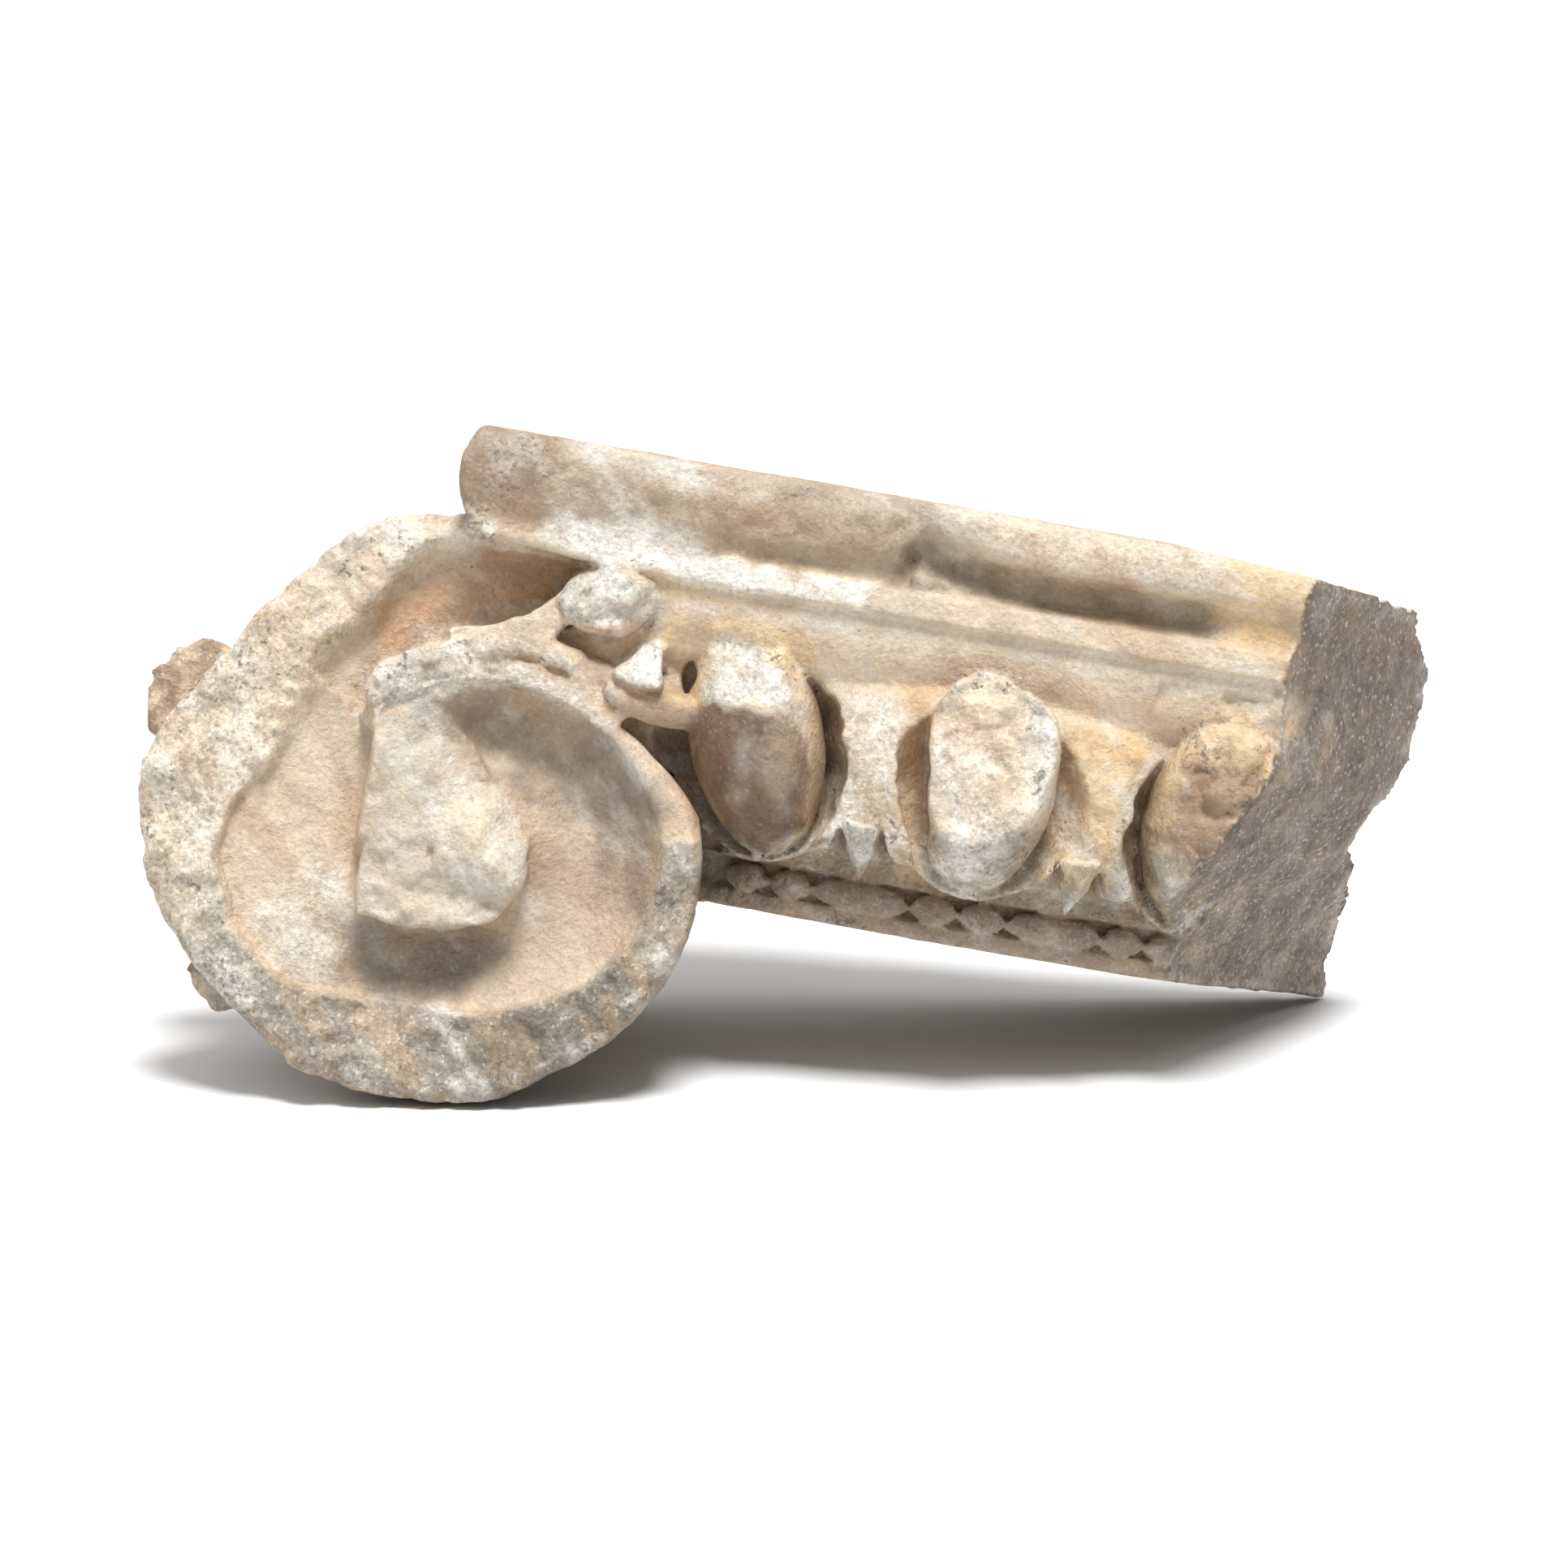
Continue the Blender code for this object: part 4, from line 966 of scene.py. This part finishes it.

# Patches of the front, seen straight on: outline, colour, how strong, how soft at its edge; some are
# painted shade or painted highlights
PATCHES = [
    ([(-240, 190), (-36, 190), (-30, 164), (-60, 146), (-130, 143), (-240, 143)], WORN, 0.95, 6),
    (TOP_LEFT, EARTH, 0.9, 12),
    ([(-198, 178), (-160, 172), (-100, 166), (-100, 150), (-150, 154), (-200, 160)], BROWN, 0.32, 9),
    ([(-130, 168), (-95, 160), (-60, 158), (-40, 152), (-36, 144), (-130, 143)], BROWN, 0.25, 8),
    ([(-190, 150), (-140, 146), (-132, 138), (-160, 133), (-200, 138)], BRIGHT, 1.0, 9),
    ([(-190, 182), (-130, 178), (-104, 170), (-112, 164), (-160, 168), (-196, 172)], BRIGHT, 0.35, 8),
    ([(-38, 182), (84, 182), (84, 162), (0, 161), (-38, 172)], PALE, 0.5, 4),
    ([(76, 182), (128, 180), (128, 142), (90, 144), (80, 160)], YELLOW, 0.6, 9),
    ([(-120, 141), (120, 141), (120, 131), (-120, 131)], CREAM, 0.7, 2),
    ([(-120, 131), (120, 131), (120, 121), (-120, 121)], IVORY, 0.9, 3),
    # the fillet's left part: white of its fresh break, with a painted highlight where it faces up
    ([(-196, 141), (-60, 141), (-60, 131), (-180, 131)], BRIGHT, 0.8, 5),
    # painted shade in the cavetto under the abacus band
    ([(-48, 164), (-20, 160), (60, 159), (84, 156), (84, 143), (-54, 143)], UMBER, 0.5, 5),
    ([(82, 158), (114, 150), (120, 140), (86, 142)], ORANGE, 0.5, 5),
    ([(-60, 121), (122, 121), (122, 96), (-60, 96)], BISCUIT, 0.5, 7),
    ([(26, 118), (124, 118), (124, 84), (72, 96), (40, 92)], ORANGE, 0.28, 9),
    ([(-120, 127), (-88, 128), (-74, 104), (-82, 98), (-90, 114), (-118, 120)], ORANGE, 0.5, 4),
    ([(-122, 118), (-92, 120), (-84, 104), (-120, 100)], YELLOW, 0.7, 5),
    ([(-122, 110), (-106, 112), (-90, 102), (-76, 84), (-80, 76), (-90, 87), (-118, 86)], WHITE, 0.9, 3),
    # egg 1's lower half: its brown, with painted shade under the broken top that stands out over it
    ([(-116, 84), (-92, 84), (-74, 74), (-70, 40), (-82, 26), (-100, 34), (-122, 70)], BARK, 1.1, 4),
    # painted shade in the groove right of egg 1
    ([(-80, 96), (-68, 98), (-58, 90), (-56, 70), (-62, 44), (-70, 40), (-70, 84)], UMBER, 0.45, 3),
    ([(-61, 98), (-38, 98), (-34, 60), (-28, 30), (-66, 30)], PALE, 0.9, 5),
    ([(-52, 50), (-36, 48), (-32, 30), (-60, 30)], WHITE, 0.5, 6),
    ([(-42, 104), (-24, 104), (-26, 78), (-34, 60), (-40, 84)], ORANGE, 0.55, 4),
    ([(-40, 108), (-28, 106), (-28, 96), (-36, 92)], BROWN, 0.5, 3),
    ([(-34, 60), (-26, 60), (-16, 24), (-28, 24)], YELLOW, 0.7, 4),
    ([(-22, 116), (10, 117), (28, 98), (29, 64), (4, 30), (-12, 28), (-24, 70)], PALE, 0.75, 3),
    ([(-16, 114), (8, 114), (14, 84), (-14, 88)], YELLOW, 0.4, 7),
    ([(12, 110), (22, 103), (28, 92), (22, 92), (14, 98)], WHITE, 0.95, 2),
    ([(-22, 82), (-14, 74), (-10, 44), (-12, 30), (4, 30), (10, 40), (-6, 50), (-10, 72)], WHITE, 0.7, 4),
    ([(30, 100), (64, 102), (64, 60), (56, 32), (34, 30), (28, 60)], YELLOW, 0.75, 5),
    ([(34, 98), (66, 100), (66, 86), (34, 84)], ORANGE, 0.5, 5),
    # painted shade in the groove left of egg 3
    ([(58, 90), (70, 92), (68, 56), (80, 26), (70, 30), (60, 60)], UMBER, 0.45, 3),
    ([(74, 112), (126, 126), (126, 30), (88, 28), (72, 60)], YELLOW, 0.6, 5),
    ([(74, 60), (96, 56), (100, 30), (86, 28)], PALE, 0.6, 5),
    ([(96, 112), (128, 118), (128, 86), (104, 90)], ORANGE, 0.4, 7),
    ([(80, 96), (112, 100), (118, 56), (92, 44), (78, 60)], BROWN, 0.7, 9),
    (BED_BAND, LOAM, 0.6, 3),
    ([(-110, 9), (112, 9), (104, -4), (-110, -4)], TAN, 0.5, 3),
    # painted shade in the hollow between the volute's edge and egg 1
    ([(-140, 72), (-112, 72), (-96, 34), (-88, 24), (-108, 22), (-118, 40)], UMBER, 0.6, 5),
    ([(-228, 131), (-174, 131), (-192, 110), (-222, 94), (-256, 78), (-262, 92), (-252, 112)],
     CLAY, 0.9, 4),
    # painted shade on the channel floor just under the fillet
    ([(-228, 131), (-176, 131), (-186, 118), (-226, 120)], BROWN, 0.5, 5),
    (FAR_LEFT, OYSTER, 0.8, 8),
    ([(-300, 110), (-262, 100), (-252, 84), (-262, 40), (-296, 40), (-318, 70)], TAN, 0.45, 10),
    ([(-258, 84), (-250, 44), (-248, -26), (-250, -60), (-300, -40), (-308, 0), (-290, 34)],
     CREAM, 0.8, 5),
    ([(-282, -14), (-252, -8), (-250, -60), (-270, -60), (-290, -44)], WHITE, 0.6, 8),
    # painted shadow cast by the platform on the channel floor
    ([(-256, -24), (-248, -30), (-190, -24), (-180, -38), (-202, -58), (-226, -62), (-252, -58)],
     PLATFORM_SHADOW_GREY, 0.7, 8),
    ([(-182, 10), (-132, 30), (-128, -10), (-150, -44), (-190, -60), (-188, -24)], ROSE, 0.8, 8),
    # painted shade on the dish's right wall, which faces away from the light
    ([(-160, 40), (-128, 50), (-124, 0), (-126, -14), (-150, -4)], MAUVE, 0.95, 12),
    # painted shade on the dish's upper wall under the band
    ([(-250, 74), (-200, 80), (-150, 66), (-130, 30), (-170, 20), (-200, 34), (-236, 50)],
     MAUVE, 0.95, 10),
    ([(-256, 62), (-249, 44), (-249, -26), (-228, -32), (-190, -22), (-178, 4), (-195, 32), (-240, 56)],
     LINEN, 0.9, 4),
    ([(-226, 32), (-196, 34), (-180, 14), (-182, -8), (-212, -14), (-224, 8)], WHITE, 0.4, 5),
    ([(-222, 24), (-200, 28), (-196, 4), (-216, -2)], YELLOW, 0.3, 5),
    ([(-262, 66), (-246, 86), (-200, 98), (-156, 84), (-160, 66), (-200, 76), (-250, 56)], PALE, 0.8, 3),
    # the ridge: white of its fresh break, with a painted highlight where it faces up
    ([(-238, 86), (-206, 98), (-176, 112), (-172, 128), (-186, 120), (-206, 108), (-240, 92)],
     BRIGHT, 0.9, 3),
    ([(-204, 93), (-160, 84), (-158, 78), (-180, 82), (-204, 86)], BROWN, 0.6, 2.5),
    ([(-240, 90), (-204, 106), (-186, 118), (-178, 128), (-168, 130), (-184, 100), (-204, 94)],
     CREAM, 0.8, 3),
    (LUMP, WHITE, 1.0, 2),
    ([(-172, 134), (-140, 134), (-136, 118), (-150, 124)], YELLOW, 0.6, 4),
    ([(-166, 119), (-146, 121), (-142, 110), (-154, 106)], BROWN, 0.55, 3),
    ([(-186, 98), (-176, 104), (-152, 108), (-146, 100), (-158, 90), (-172, 94)], ORANGE, 0.75, 2.5),
    # painted shade in the upper part of the hollow under the lump
    ([(-184, 98), (-172, 103), (-154, 104), (-160, 98)], BROWN, 0.6, 3),
    (CHIP, WHITE, 1.0, 1.5),
    (STEM, YELLOW, 0.8, 3),
    ([(-132, 126), (-118, 122), (-122, 100), (-134, 104)], TAN, 0.7, 4),
    (LEAF, BROWN, 0.9, 3),
    ([(-136, 85), (-116, 85), (-116, 76), (-132, 76)], YELLOW, 0.8, 3),
    ([(-161, 80), (-137, 85), (-137, 74), (-155, 74)], BROWN, 0.45, 3),
]
# Stains, painted shade and painted highlights that lie over the worn edges, given as the patches are
STAINS_AND_PAINTED_LIGHT = [
    # egg 1's lower half: more painted shade under the broken top, over its brown
    ([(-118, 83), (-100, 82), (-84, 86), (-72, 74), (-70, 40), (-82, 24), (-100, 32), (-124, 70)],
     CHESTNUT, 0.8, 3),
    ([(-92, 84), (-76, 88), (-76, 62), (-84, 40), (-90, 60)], CREAM, 0.3, 6),
    (BED_BAND, CHESTNUT, 0.3, 3),
    (TOP_LEFT, CHESTNUT, 0.3, 14),
    ([(-130, 172), (-44, 168), (-46, 146), (-130, 146)], BROWN, 0.3, 12),
    # more painted shade in the cavetto under the abacus band
    ([(-48, 162), (-20, 158), (60, 157), (84, 154), (84, 144), (-54, 144)], CHESTNUT, 0.35, 5),
    ([(80, 94), (112, 98), (116, 58), (94, 46), (80, 60)], CHESTNUT, 0.35, 9),
    ([(-60, 130), (122, 130), (122, 119), (-60, 119)], CREAM, 0.6, 3),
    ([(-70, 118), (122, 118), (122, 98), (-70, 98)], CREAM, 0.25, 6),
    # more painted highlight on the fillet's left part, over its white
    ([(-180, 142), (-70, 142), (-70, 132), (-170, 130)], BRIGHT, 0.6, 4),
    # more painted shade on the dish's right wall
    ([(-150, 40), (-126, 44), (-122, 0), (-130, -14), (-150, -8)], CHESTNUT, 0.25, 12),
    # more painted shadow cast by the platform on the channel floor
    ([(-256, -26), (-248, -30), (-190, -24), (-182, -36), (-200, -54), (-226, -60), (-250, -56)],
     DUSK, 0.45, 9),
]
# Parts of the front that dark specks have settled on
SOOTY = [
    ([(-236, 184), (-190, 182), (-186, 142), (-236, 142)], 0.8),
    ([(-130, 180), (-40, 182), (-40, 160), (-110, 150)], 0.5),
    ([(74, 112), (126, 122), (126, 60), (100, 56), (80, 70)], 0.9),
    ([(-14, 116), (10, 116), (28, 96), (28, 62), (20, 66), (16, 92), (-10, 106)], 0.8),
    ([(-118, 112), (-94, 114), (-80, 100), (-84, 94), (-110, 102)], 0.7),
    ([(-118, 76), (-84, 80), (-72, 60), (-78, 34), (-96, 40)], 0.6),
    ([(-262, 66), (-246, 86), (-200, 98), (-190, 88), (-250, 56)], 0.7),
    (FAR_LEFT, 0.8),
    ([(-186, 128), (-140, 134), (-140, 104), (-186, 100)], 0.6),
    ([(34, 100), (66, 100), (66, 82), (34, 82)], 0.7),
    ([(-228, 131), (-174, 131), (-192, 110), (-222, 94), (-250, 84)], 0.5),
]


def paint(points, normals, closed, sharp):
    """Colour of the stone with painted shade, shadow and highlights in it, how far it is a crystalline
    break, and how many dark specks it has.
    """
    grit = Grit(77)
    x, y, z = points.T.astype(np.float32)
    wide = grit(x, y, z, 42.0, 3)
    small = grit(x, y, z, 11.0, 3, 0.6)
    warp_x = x + 3.0 * grit(x, y, z, 9.0, 2)
    warp_z = z + 3.0 * grit(x, y, z + 300.0, 9.0, 2)
    front = ease(y, 75.0, 45.0)
    colour = mix(CREAM, TAN, ease(wide + 0.5 * small, -0.5, 0.9)[:, None])
    crystal = np.full(len(x), 0.25)

    def lay(share, shade, rough_share=None):
        nonlocal colour, crystal
        colour = mix(colour, shade, np.clip(share, 0, 1)[:, None])
        if rough_share is not None:
            crystal = mix(crystal, rough_share, np.clip(share, 0, 1))

    def over(outline, soft):
        return ease(polygon(warp_x, warp_z, outline), soft * 0.5, -soft * 0.6) * front

    hidden = ease(y, 45.0, 75.0)
    lay(hidden * (0.7 + 0.3 * small), GREY, 0.8)
    ring = ease(y, 40.0, 60.0) * ease(x, -300.0, -318.0)
    lay(ring * 0.9, mix(BROWN, TAN, ease(small, -0.6, 0.4)[:, None]))
    r, a = polar(x, z)
    inner = table(RIM_INNER, a)
    rim = ease(r, inner - 2.0, inner + 3.0) * ((a > 97) | (a < 12)) * front
    lay(rim * ease(a, 90, 110) * ease(a, 290, 250), CREAM, 0.9)
    lay(rim * ease(small + wide, -0.6, 0.6) * 0.7, PALE, 0.9)
    round_on = np.where(a < 90, a + 360, a)
    lay(rim * ease(np.abs(a - 246.0), 70.0, 25.0) * (0.75 + 0.4 * wide), ASH, 0.8)
    lay(rim * ease(round_on, 262.0, 290.0) * mix(0.92, 0.62, ease(round_on, 318.0, 345.0)), GREEN, 0.7)
    for outline, shade, strength, soft in PATCHES:
        fresh = shade is WHITE or shade is PALE or shade is BRIGHT
        share = over(outline, soft) * strength * np.clip(0.85 + 0.45 * small, 0.0, 1.15)
        lay(share, shade, 0.85 if fresh else 0.25)
    end = ease(x - curve(END_FACE, z) - END_SLOPE * y, -5.0, -1.0) * (normals[:, 0] > 0.25)
    mottled = 0.5 * wide + 0.9 * grit(1.4 * x - 0.2 * z, 0.3 * y, 0.6 * z, 7.0, 4, 0.75)
    lay(end * 0.97, mix(mix(ASH, BROWN, 0.4), SHADE, ease(mottled, -1.0, 0.7)[:, None]), 0.9)
    lay(end * ease(z, 40.0, 110.0) * 0.4, SHADE)
    lay(end * ease(mottled, -0.4, -1.0) * 0.3, TAN)
    lay(end * ease(z, 60.0, 10.0) * 0.25, mix(TAN, ASH, 0.5))
    lay(end * ease(z, 90.0, 150.0) * ease(wide, -0.2, 0.6) * 0.4, BROWN)
    # hollows made orange-brown and darker: partly grime, partly painted shade where light is shut out
    lay(ease(closed, 0.10, 0.50) * 0.60 * (1.0 - crystal * 0.6), mix(ORANGE, BROWN, 0.5))
    lay(ease(closed, 0.50, 0.90) * 0.45, BROWN)
    stain = grit(x + 0.8 * z, y, z * 0.5, 17.0, 4, 0.65)
    lay(ease(stain, 0.15, 0.85) * 0.5 * front, mix(BROWN, TAN, 0.4))
    lay(ease(-stain, 0.25, 0.95) * 0.5 * front, WHITE)
    lay(ease(sharp, 0.30, 0.62) * 0.45 * ease(small, -0.6, 0.4), WHITE)
    for outline, shade, strength, soft in STAINS_AND_PAINTED_LIGHT:
        lay(over(outline, soft) * strength * np.clip(0.9 + 0.4 * small, 0.0, 1.2), shade)
    lay(end * ease(z, 30.0, 80.0) * 0.6, UMBER)
    soot = 0.25 + 0.5 * end + 0.35 * hidden
    soot = np.maximum(soot, rim * 0.85)
    for outline, strength in SOOTY:
        soot = np.maximum(soot, strength * ease(polygon(warp_x, warp_z, outline), 4.0, -4.0) * front)
    soot = soot + 0.45 * ease(sharp, 0.25, 0.6) * ease(small, -0.3, 0.5)
    calm = 0.5 + 0.5 * ease(crystal, 0.3, 0.7)
    colour = colour * (1.0 + calm * (0.16 * small + 0.08 * wide))[:, None]
    colour = colour * DEEPEN
    return np.clip(colour, 0.0, 1.0), np.clip(crystal, 0.0, 1.0), np.clip(soot, 0.0, 1.0)


def keep_attribute(mesh, name, kind, values):
    """Stores a number or a colour at each point of a mesh."""
    layer = mesh.attributes.new(name, kind, "POINT")
    if kind == "FLOAT_COLOR":
        values = np.concatenate([values, np.ones((len(values), 1))], 1)
        layer.data.foreach_set("color", values.astype(np.float32).ravel())
    else:
        layer.data.foreach_set("value", values.astype(np.float32))


# The marble's crystals to the metre, and the colours of its dark specks and its glints
CRYSTALS = 760.0
SPECK = (0.13, 0.10, 0.075, 1.0)
GLINT = (0.93, 0.91, 0.88, 1.0)


class Shader:
    """A node tree that is filled one node at a time."""

    def __init__(self, name):
        self.material = bpy.data.materials.new(name)
        self.material.use_nodes = True
        self.tree = self.material.node_tree
        self.surface = self.tree.nodes["Principled BSDF"]

    def add(self, kind, settings=None, **inputs):
        made = self.tree.nodes.new(kind)
        for name, value in (settings or {}).items():
            setattr(made, name, value)
        for name, value in inputs.items():
            self.put(made, name.replace("_", " "), value)
        return made

    def put(self, made, name, value):
        socket = made.inputs[int(name[1:])] if name[0] == "i" and name[1:].isdigit() else made.inputs[name]
        if isinstance(value, bpy.types.NodeSocket):
            self.tree.links.new(value, socket)
        else:
            socket.default_value = value

    def sum(self, kind, first, second):
        return self.add("ShaderNodeMath", {"operation": kind}, i0=first, i1=second).outputs[0]

    def ramp(self, value, low, high, start, end):
        made = self.add("ShaderNodeMapRange", {"clamp": True}, Value=value)
        for name, number in (("From Min", low), ("From Max", high), ("To Min", start), ("To Max", end)):
            made.inputs[name].default_value = number
        return made.outputs[0]

    def noise(self, place, scale, detail, rough):
        made = self.add("ShaderNodeTexNoise", Vector=place, Scale=scale, Detail=detail, Roughness=rough)
        return made.outputs[0]

    def painted(self, name, output):
        return self.add("ShaderNodeAttribute", {"attribute_name": name}).outputs[output]

    def bump(self, height, strength, distance, below=None):
        made = self.add("ShaderNodeBump", Height=height, Strength=strength, Distance=distance)
        if below:
            self.put(made, "Normal", below)
        return made.outputs[0]

    def blend(self, share, first, second, how="MIX"):
        made = self.add("ShaderNodeMix", {"data_type": "RGBA", "blend_type": how}, Factor=share)
        self.put(made, "i6", first)
        self.put(made, "i7", second)
        return made.outputs[2]


def marble():
    """Weathered marble: painted colour with crystals, specks and a fine broken grain."""
    shader = Shader("Weathered marble")
    place = shader.add("ShaderNodeTexCoord").outputs["Object"]
    tint = shader.painted("tint", "Color")
    crystal = shader.painted("crystal", "Fac")
    soot = shader.painted("soot", "Fac")
    grain = shader.add("ShaderNodeTexVoronoi", Vector=place, Scale=CRYSTALS)
    cell = shader.add("ShaderNodeSeparateColor", Color=grain.outputs["Color"]).outputs
    fine = shader.noise(place, 420.0, 5.0, 0.65)
    patchy = shader.noise(place, 95.0, 6.0, 0.6)
    speck = shader.noise(place, 330.0, 4.0, 0.7)
    zone = shader.noise(place, 46.0, 4.0, 0.6)

    jitter = shader.ramp(cell[0], 0.0, 1.0, -0.14, 0.16)
    jitter = shader.sum("ADD", jitter, shader.ramp(fine, 0.3, 0.7, -0.34, 0.28))
    jitter = shader.sum("ADD", jitter, shader.ramp(patchy, 0.3, 0.7, -0.2, 0.16))
    jitter = shader.sum("MULTIPLY", jitter, shader.ramp(crystal, 0.2, 0.9, 0.34, 1.05))
    light = shader.sum("ADD", jitter, 1.0)
    grey = shader.add("ShaderNodeCombineColor", i0=light, i1=light, i2=light).outputs[0]
    colour = shader.blend(1.0, tint, grey, "MULTIPLY")

    settled = shader.sum("MULTIPLY", soot, shader.ramp(zone, 0.42, 0.62, 0.25, 1.0))
    level = shader.sum("ADD", speck, shader.ramp(settled, 0.0, 1.0, -0.10, 0.13))
    colour = shader.blend(shader.ramp(level, 0.60, 0.70, 0.0, 0.8), colour, SPECK)
    glint = shader.sum("MULTIPLY", shader.ramp(cell[1], 0.90, 0.97, 0.0, 0.28), crystal)
    colour = shader.blend(glint, colour, GLINT)
    shader.put(shader.surface, "Base Color", colour)
    shader.put(shader.surface, "Roughness", shader.ramp(cell[2], 0.0, 1.0, 0.42, 0.75))

    relief = shader.bump(shader.sum("MULTIPLY", cell[0], crystal), 0.5, 0.0007)
    relief = shader.bump(fine, 0.8, 0.0012, relief)
    relief = shader.bump(patchy, 0.8, 0.0032, relief)
    shader.put(shader.surface, "Normal", relief)
    return shader.material


# The stage: the key light's direction and the camera's aim are in the stone's upright frame
FLOOR_SIZE = 120.0
KEY_SPREAD = math.radians(18.0)
KEY_SHINE = Vector((2.0, 21.5, -36.0))
OVERHEAD_SPREAD = math.radians(120.0)
OVERHEAD_SHINE = Vector((0.25, -0.25, -1.0))
LENS = 120.0
AIM = Vector((-80.7, 0.0, 55.0))
CAMERA_LIFT = math.radians(12.0)


class CapitalSizes(bpy.types.PropertyGroup):
    floor_colour: FloatVectorProperty(
        name="Floor",
        description="Colour of the paper sweep under the stone",
        subtype="COLOR",
        default=(0.70, 0.70, 0.70),
        min=0.0,
        max=1.0,
    )
    sun: FloatProperty(
        name="Key light",
        description="Strength of the soft key light from the upper right",
        default=4.8,
        min=0.0,
        max=20.0,
    )
    overhead: FloatProperty(
        name="Overhead light",
        description="Strength of the very soft light above the stone",
        default=1.8,
        min=0.0,
        max=20.0,
    )
    fill: FloatProperty(
        name="Fill light",
        description="Strength of the white room around the stone",
        default=0.26,
        min=0.0,
        max=5.0,
    )
    distance: FloatProperty(
        name="Camera distance",
        description="From the camera to the middle of the picture",
        default=2.15,
        min=0.5,
        max=10.0,
        unit="LENGTH",
    )


class CAPITAL_OT_stone(bpy.types.Operator):
    """Carve the stone over its plain solid"""

    bl_idname = "capital.stone"
    bl_label = "Carve the stone"

    def execute(self, context):
        block = carve_stone()
        points, quads = skin(block)
        place = laid_down()
        laid = points @ np.array(place.to_3x3()).T + np.array(place.translation)
        obj = new_mesh("carved_stone", laid, quads)
        select_only(obj)
        thin = obj.modifiers.new("Thin", "DECIMATE")
        thin.ratio = min(1.0, FACE_LIMIT / (2 * len(quads)))
        bpy.ops.object.modifier_apply(modifier=thin.name)
        hold_in(obj, *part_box(NODE))
        bpy.ops.object.shade_smooth()
        points, normals = capital_points(obj)
        tint, crystal, soot = paint(points, normals, *hollows(block, points, normals))
        keep_attribute(obj.data, "tint", "FLOAT_COLOR", tint)
        keep_attribute(obj.data, "crystal", "FLOAT", crystal)
        keep_attribute(obj.data, "soot", "FLOAT", soot)
        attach(obj, "root")
        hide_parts(NODE)
        return {"FINISHED"}


class CAPITAL_OT_marble(bpy.types.Operator):
    """Give the stone its marble"""

    bl_idname = "capital.marble"
    bl_label = "Paint the marble"

    def execute(self, context):
        obj = bpy.data.objects["carved_stone"]
        obj.data.materials.clear()
        obj.data.materials.append(marble())
        return {"FINISHED"}


def add_sun(name, energy, spread, shine):
    """A light from far off, with its spread and the direction in which it shines."""
    light = bpy.data.lights.new(name, "SUN")
    light.energy = energy
    light.angle = spread
    lamp = bpy.data.objects.new(name, light)
    lamp.rotation_euler = shine.to_track_quat("-Z", "Y").to_euler()
    bpy.context.scene.collection.objects.link(lamp)


class CAPITAL_OT_stage(bpy.types.Operator):
    """Set the floor, the light and the camera"""

    bl_idname = "capital.stage"
    bl_label = "Set the stage"

    def execute(self, context):
        sizes = context.scene.capital
        bpy.ops.object.select_all(action="DESELECT")
        bpy.ops.mesh.primitive_plane_add(size=FLOOR_SIZE, location=(0.0, 0.0, 0.0))
        floor = context.object
        floor.name = "floor"
        paper = bpy.data.materials.new("White paper")
        paper.use_nodes = True
        surface = paper.node_tree.nodes["Principled BSDF"].inputs
        surface["Base Color"].default_value = (*sizes.floor_colour, 1.0)
        surface["Roughness"].default_value = 0.9
        floor.data.materials.append(paper)
        world = bpy.data.worlds.new("Studio")
        world.use_nodes = True
        room = world.node_tree.nodes["Background"].inputs
        room["Color"].default_value = (1.0, 1.0, 1.0, 1.0)
        room["Strength"].default_value = sizes.fill
        context.scene.world = world
        add_sun("key", sizes.sun, KEY_SPREAD, laid_down().to_3x3() @ KEY_SHINE)
        add_sun("overhead", sizes.overhead, OVERHEAD_SPREAD, OVERHEAD_SHINE)

        camera = bpy.data.cameras.new("Camera")
        camera.lens = LENS
        camera.sensor_width = 36.0
        eye = bpy.data.objects.new("Camera", camera)
        context.scene.collection.objects.link(eye)
        away = Vector((0.0, -math.cos(CAMERA_LIFT), math.sin(CAMERA_LIFT)))
        eye.location = laid_down() @ AIM + away * sizes.distance
        eye.rotation_euler = (-away).to_track_quat("-Z", "Y").to_euler()
        context.scene.camera = eye
        context.scene.view_settings.view_transform = "Standard"
        return {"FINISHED"}


class CAPITAL_PT_panel(bpy.types.Panel):
    bl_label = "Ionic capital fragment"
    bl_idname = "CAPITAL_PT_panel"
    bl_space_type = "VIEW_3D"
    bl_region_type = "UI"
    bl_category = "Capital"

    def draw(self, context):
        sizes = context.scene.capital
        for name in ("floor_colour", "sun", "overhead", "fill", "distance"):
            self.layout.prop(sizes, name)
        for operator in ("capital.stone", "capital.marble", "capital.stage"):
            self.layout.operator(operator)


CLASSES = (
    CapitalSizes,
    CAPITAL_OT_stone,
    CAPITAL_OT_marble,
    CAPITAL_OT_stage,
    CAPITAL_PT_panel,
)


def register():
    for cls in CLASSES:
        bpy.utils.register_class(cls)
    bpy.types.Scene.capital = PointerProperty(type=CapitalSizes)


def unregister():
    del bpy.types.Scene.capital
    for cls in reversed(CLASSES):
        bpy.utils.unregister_class(cls)


def main():
    register()
    bpy.ops.capital.stone()
    bpy.ops.capital.marble()
    bpy.ops.capital.stage()


if __name__ == "__main__":
    main()
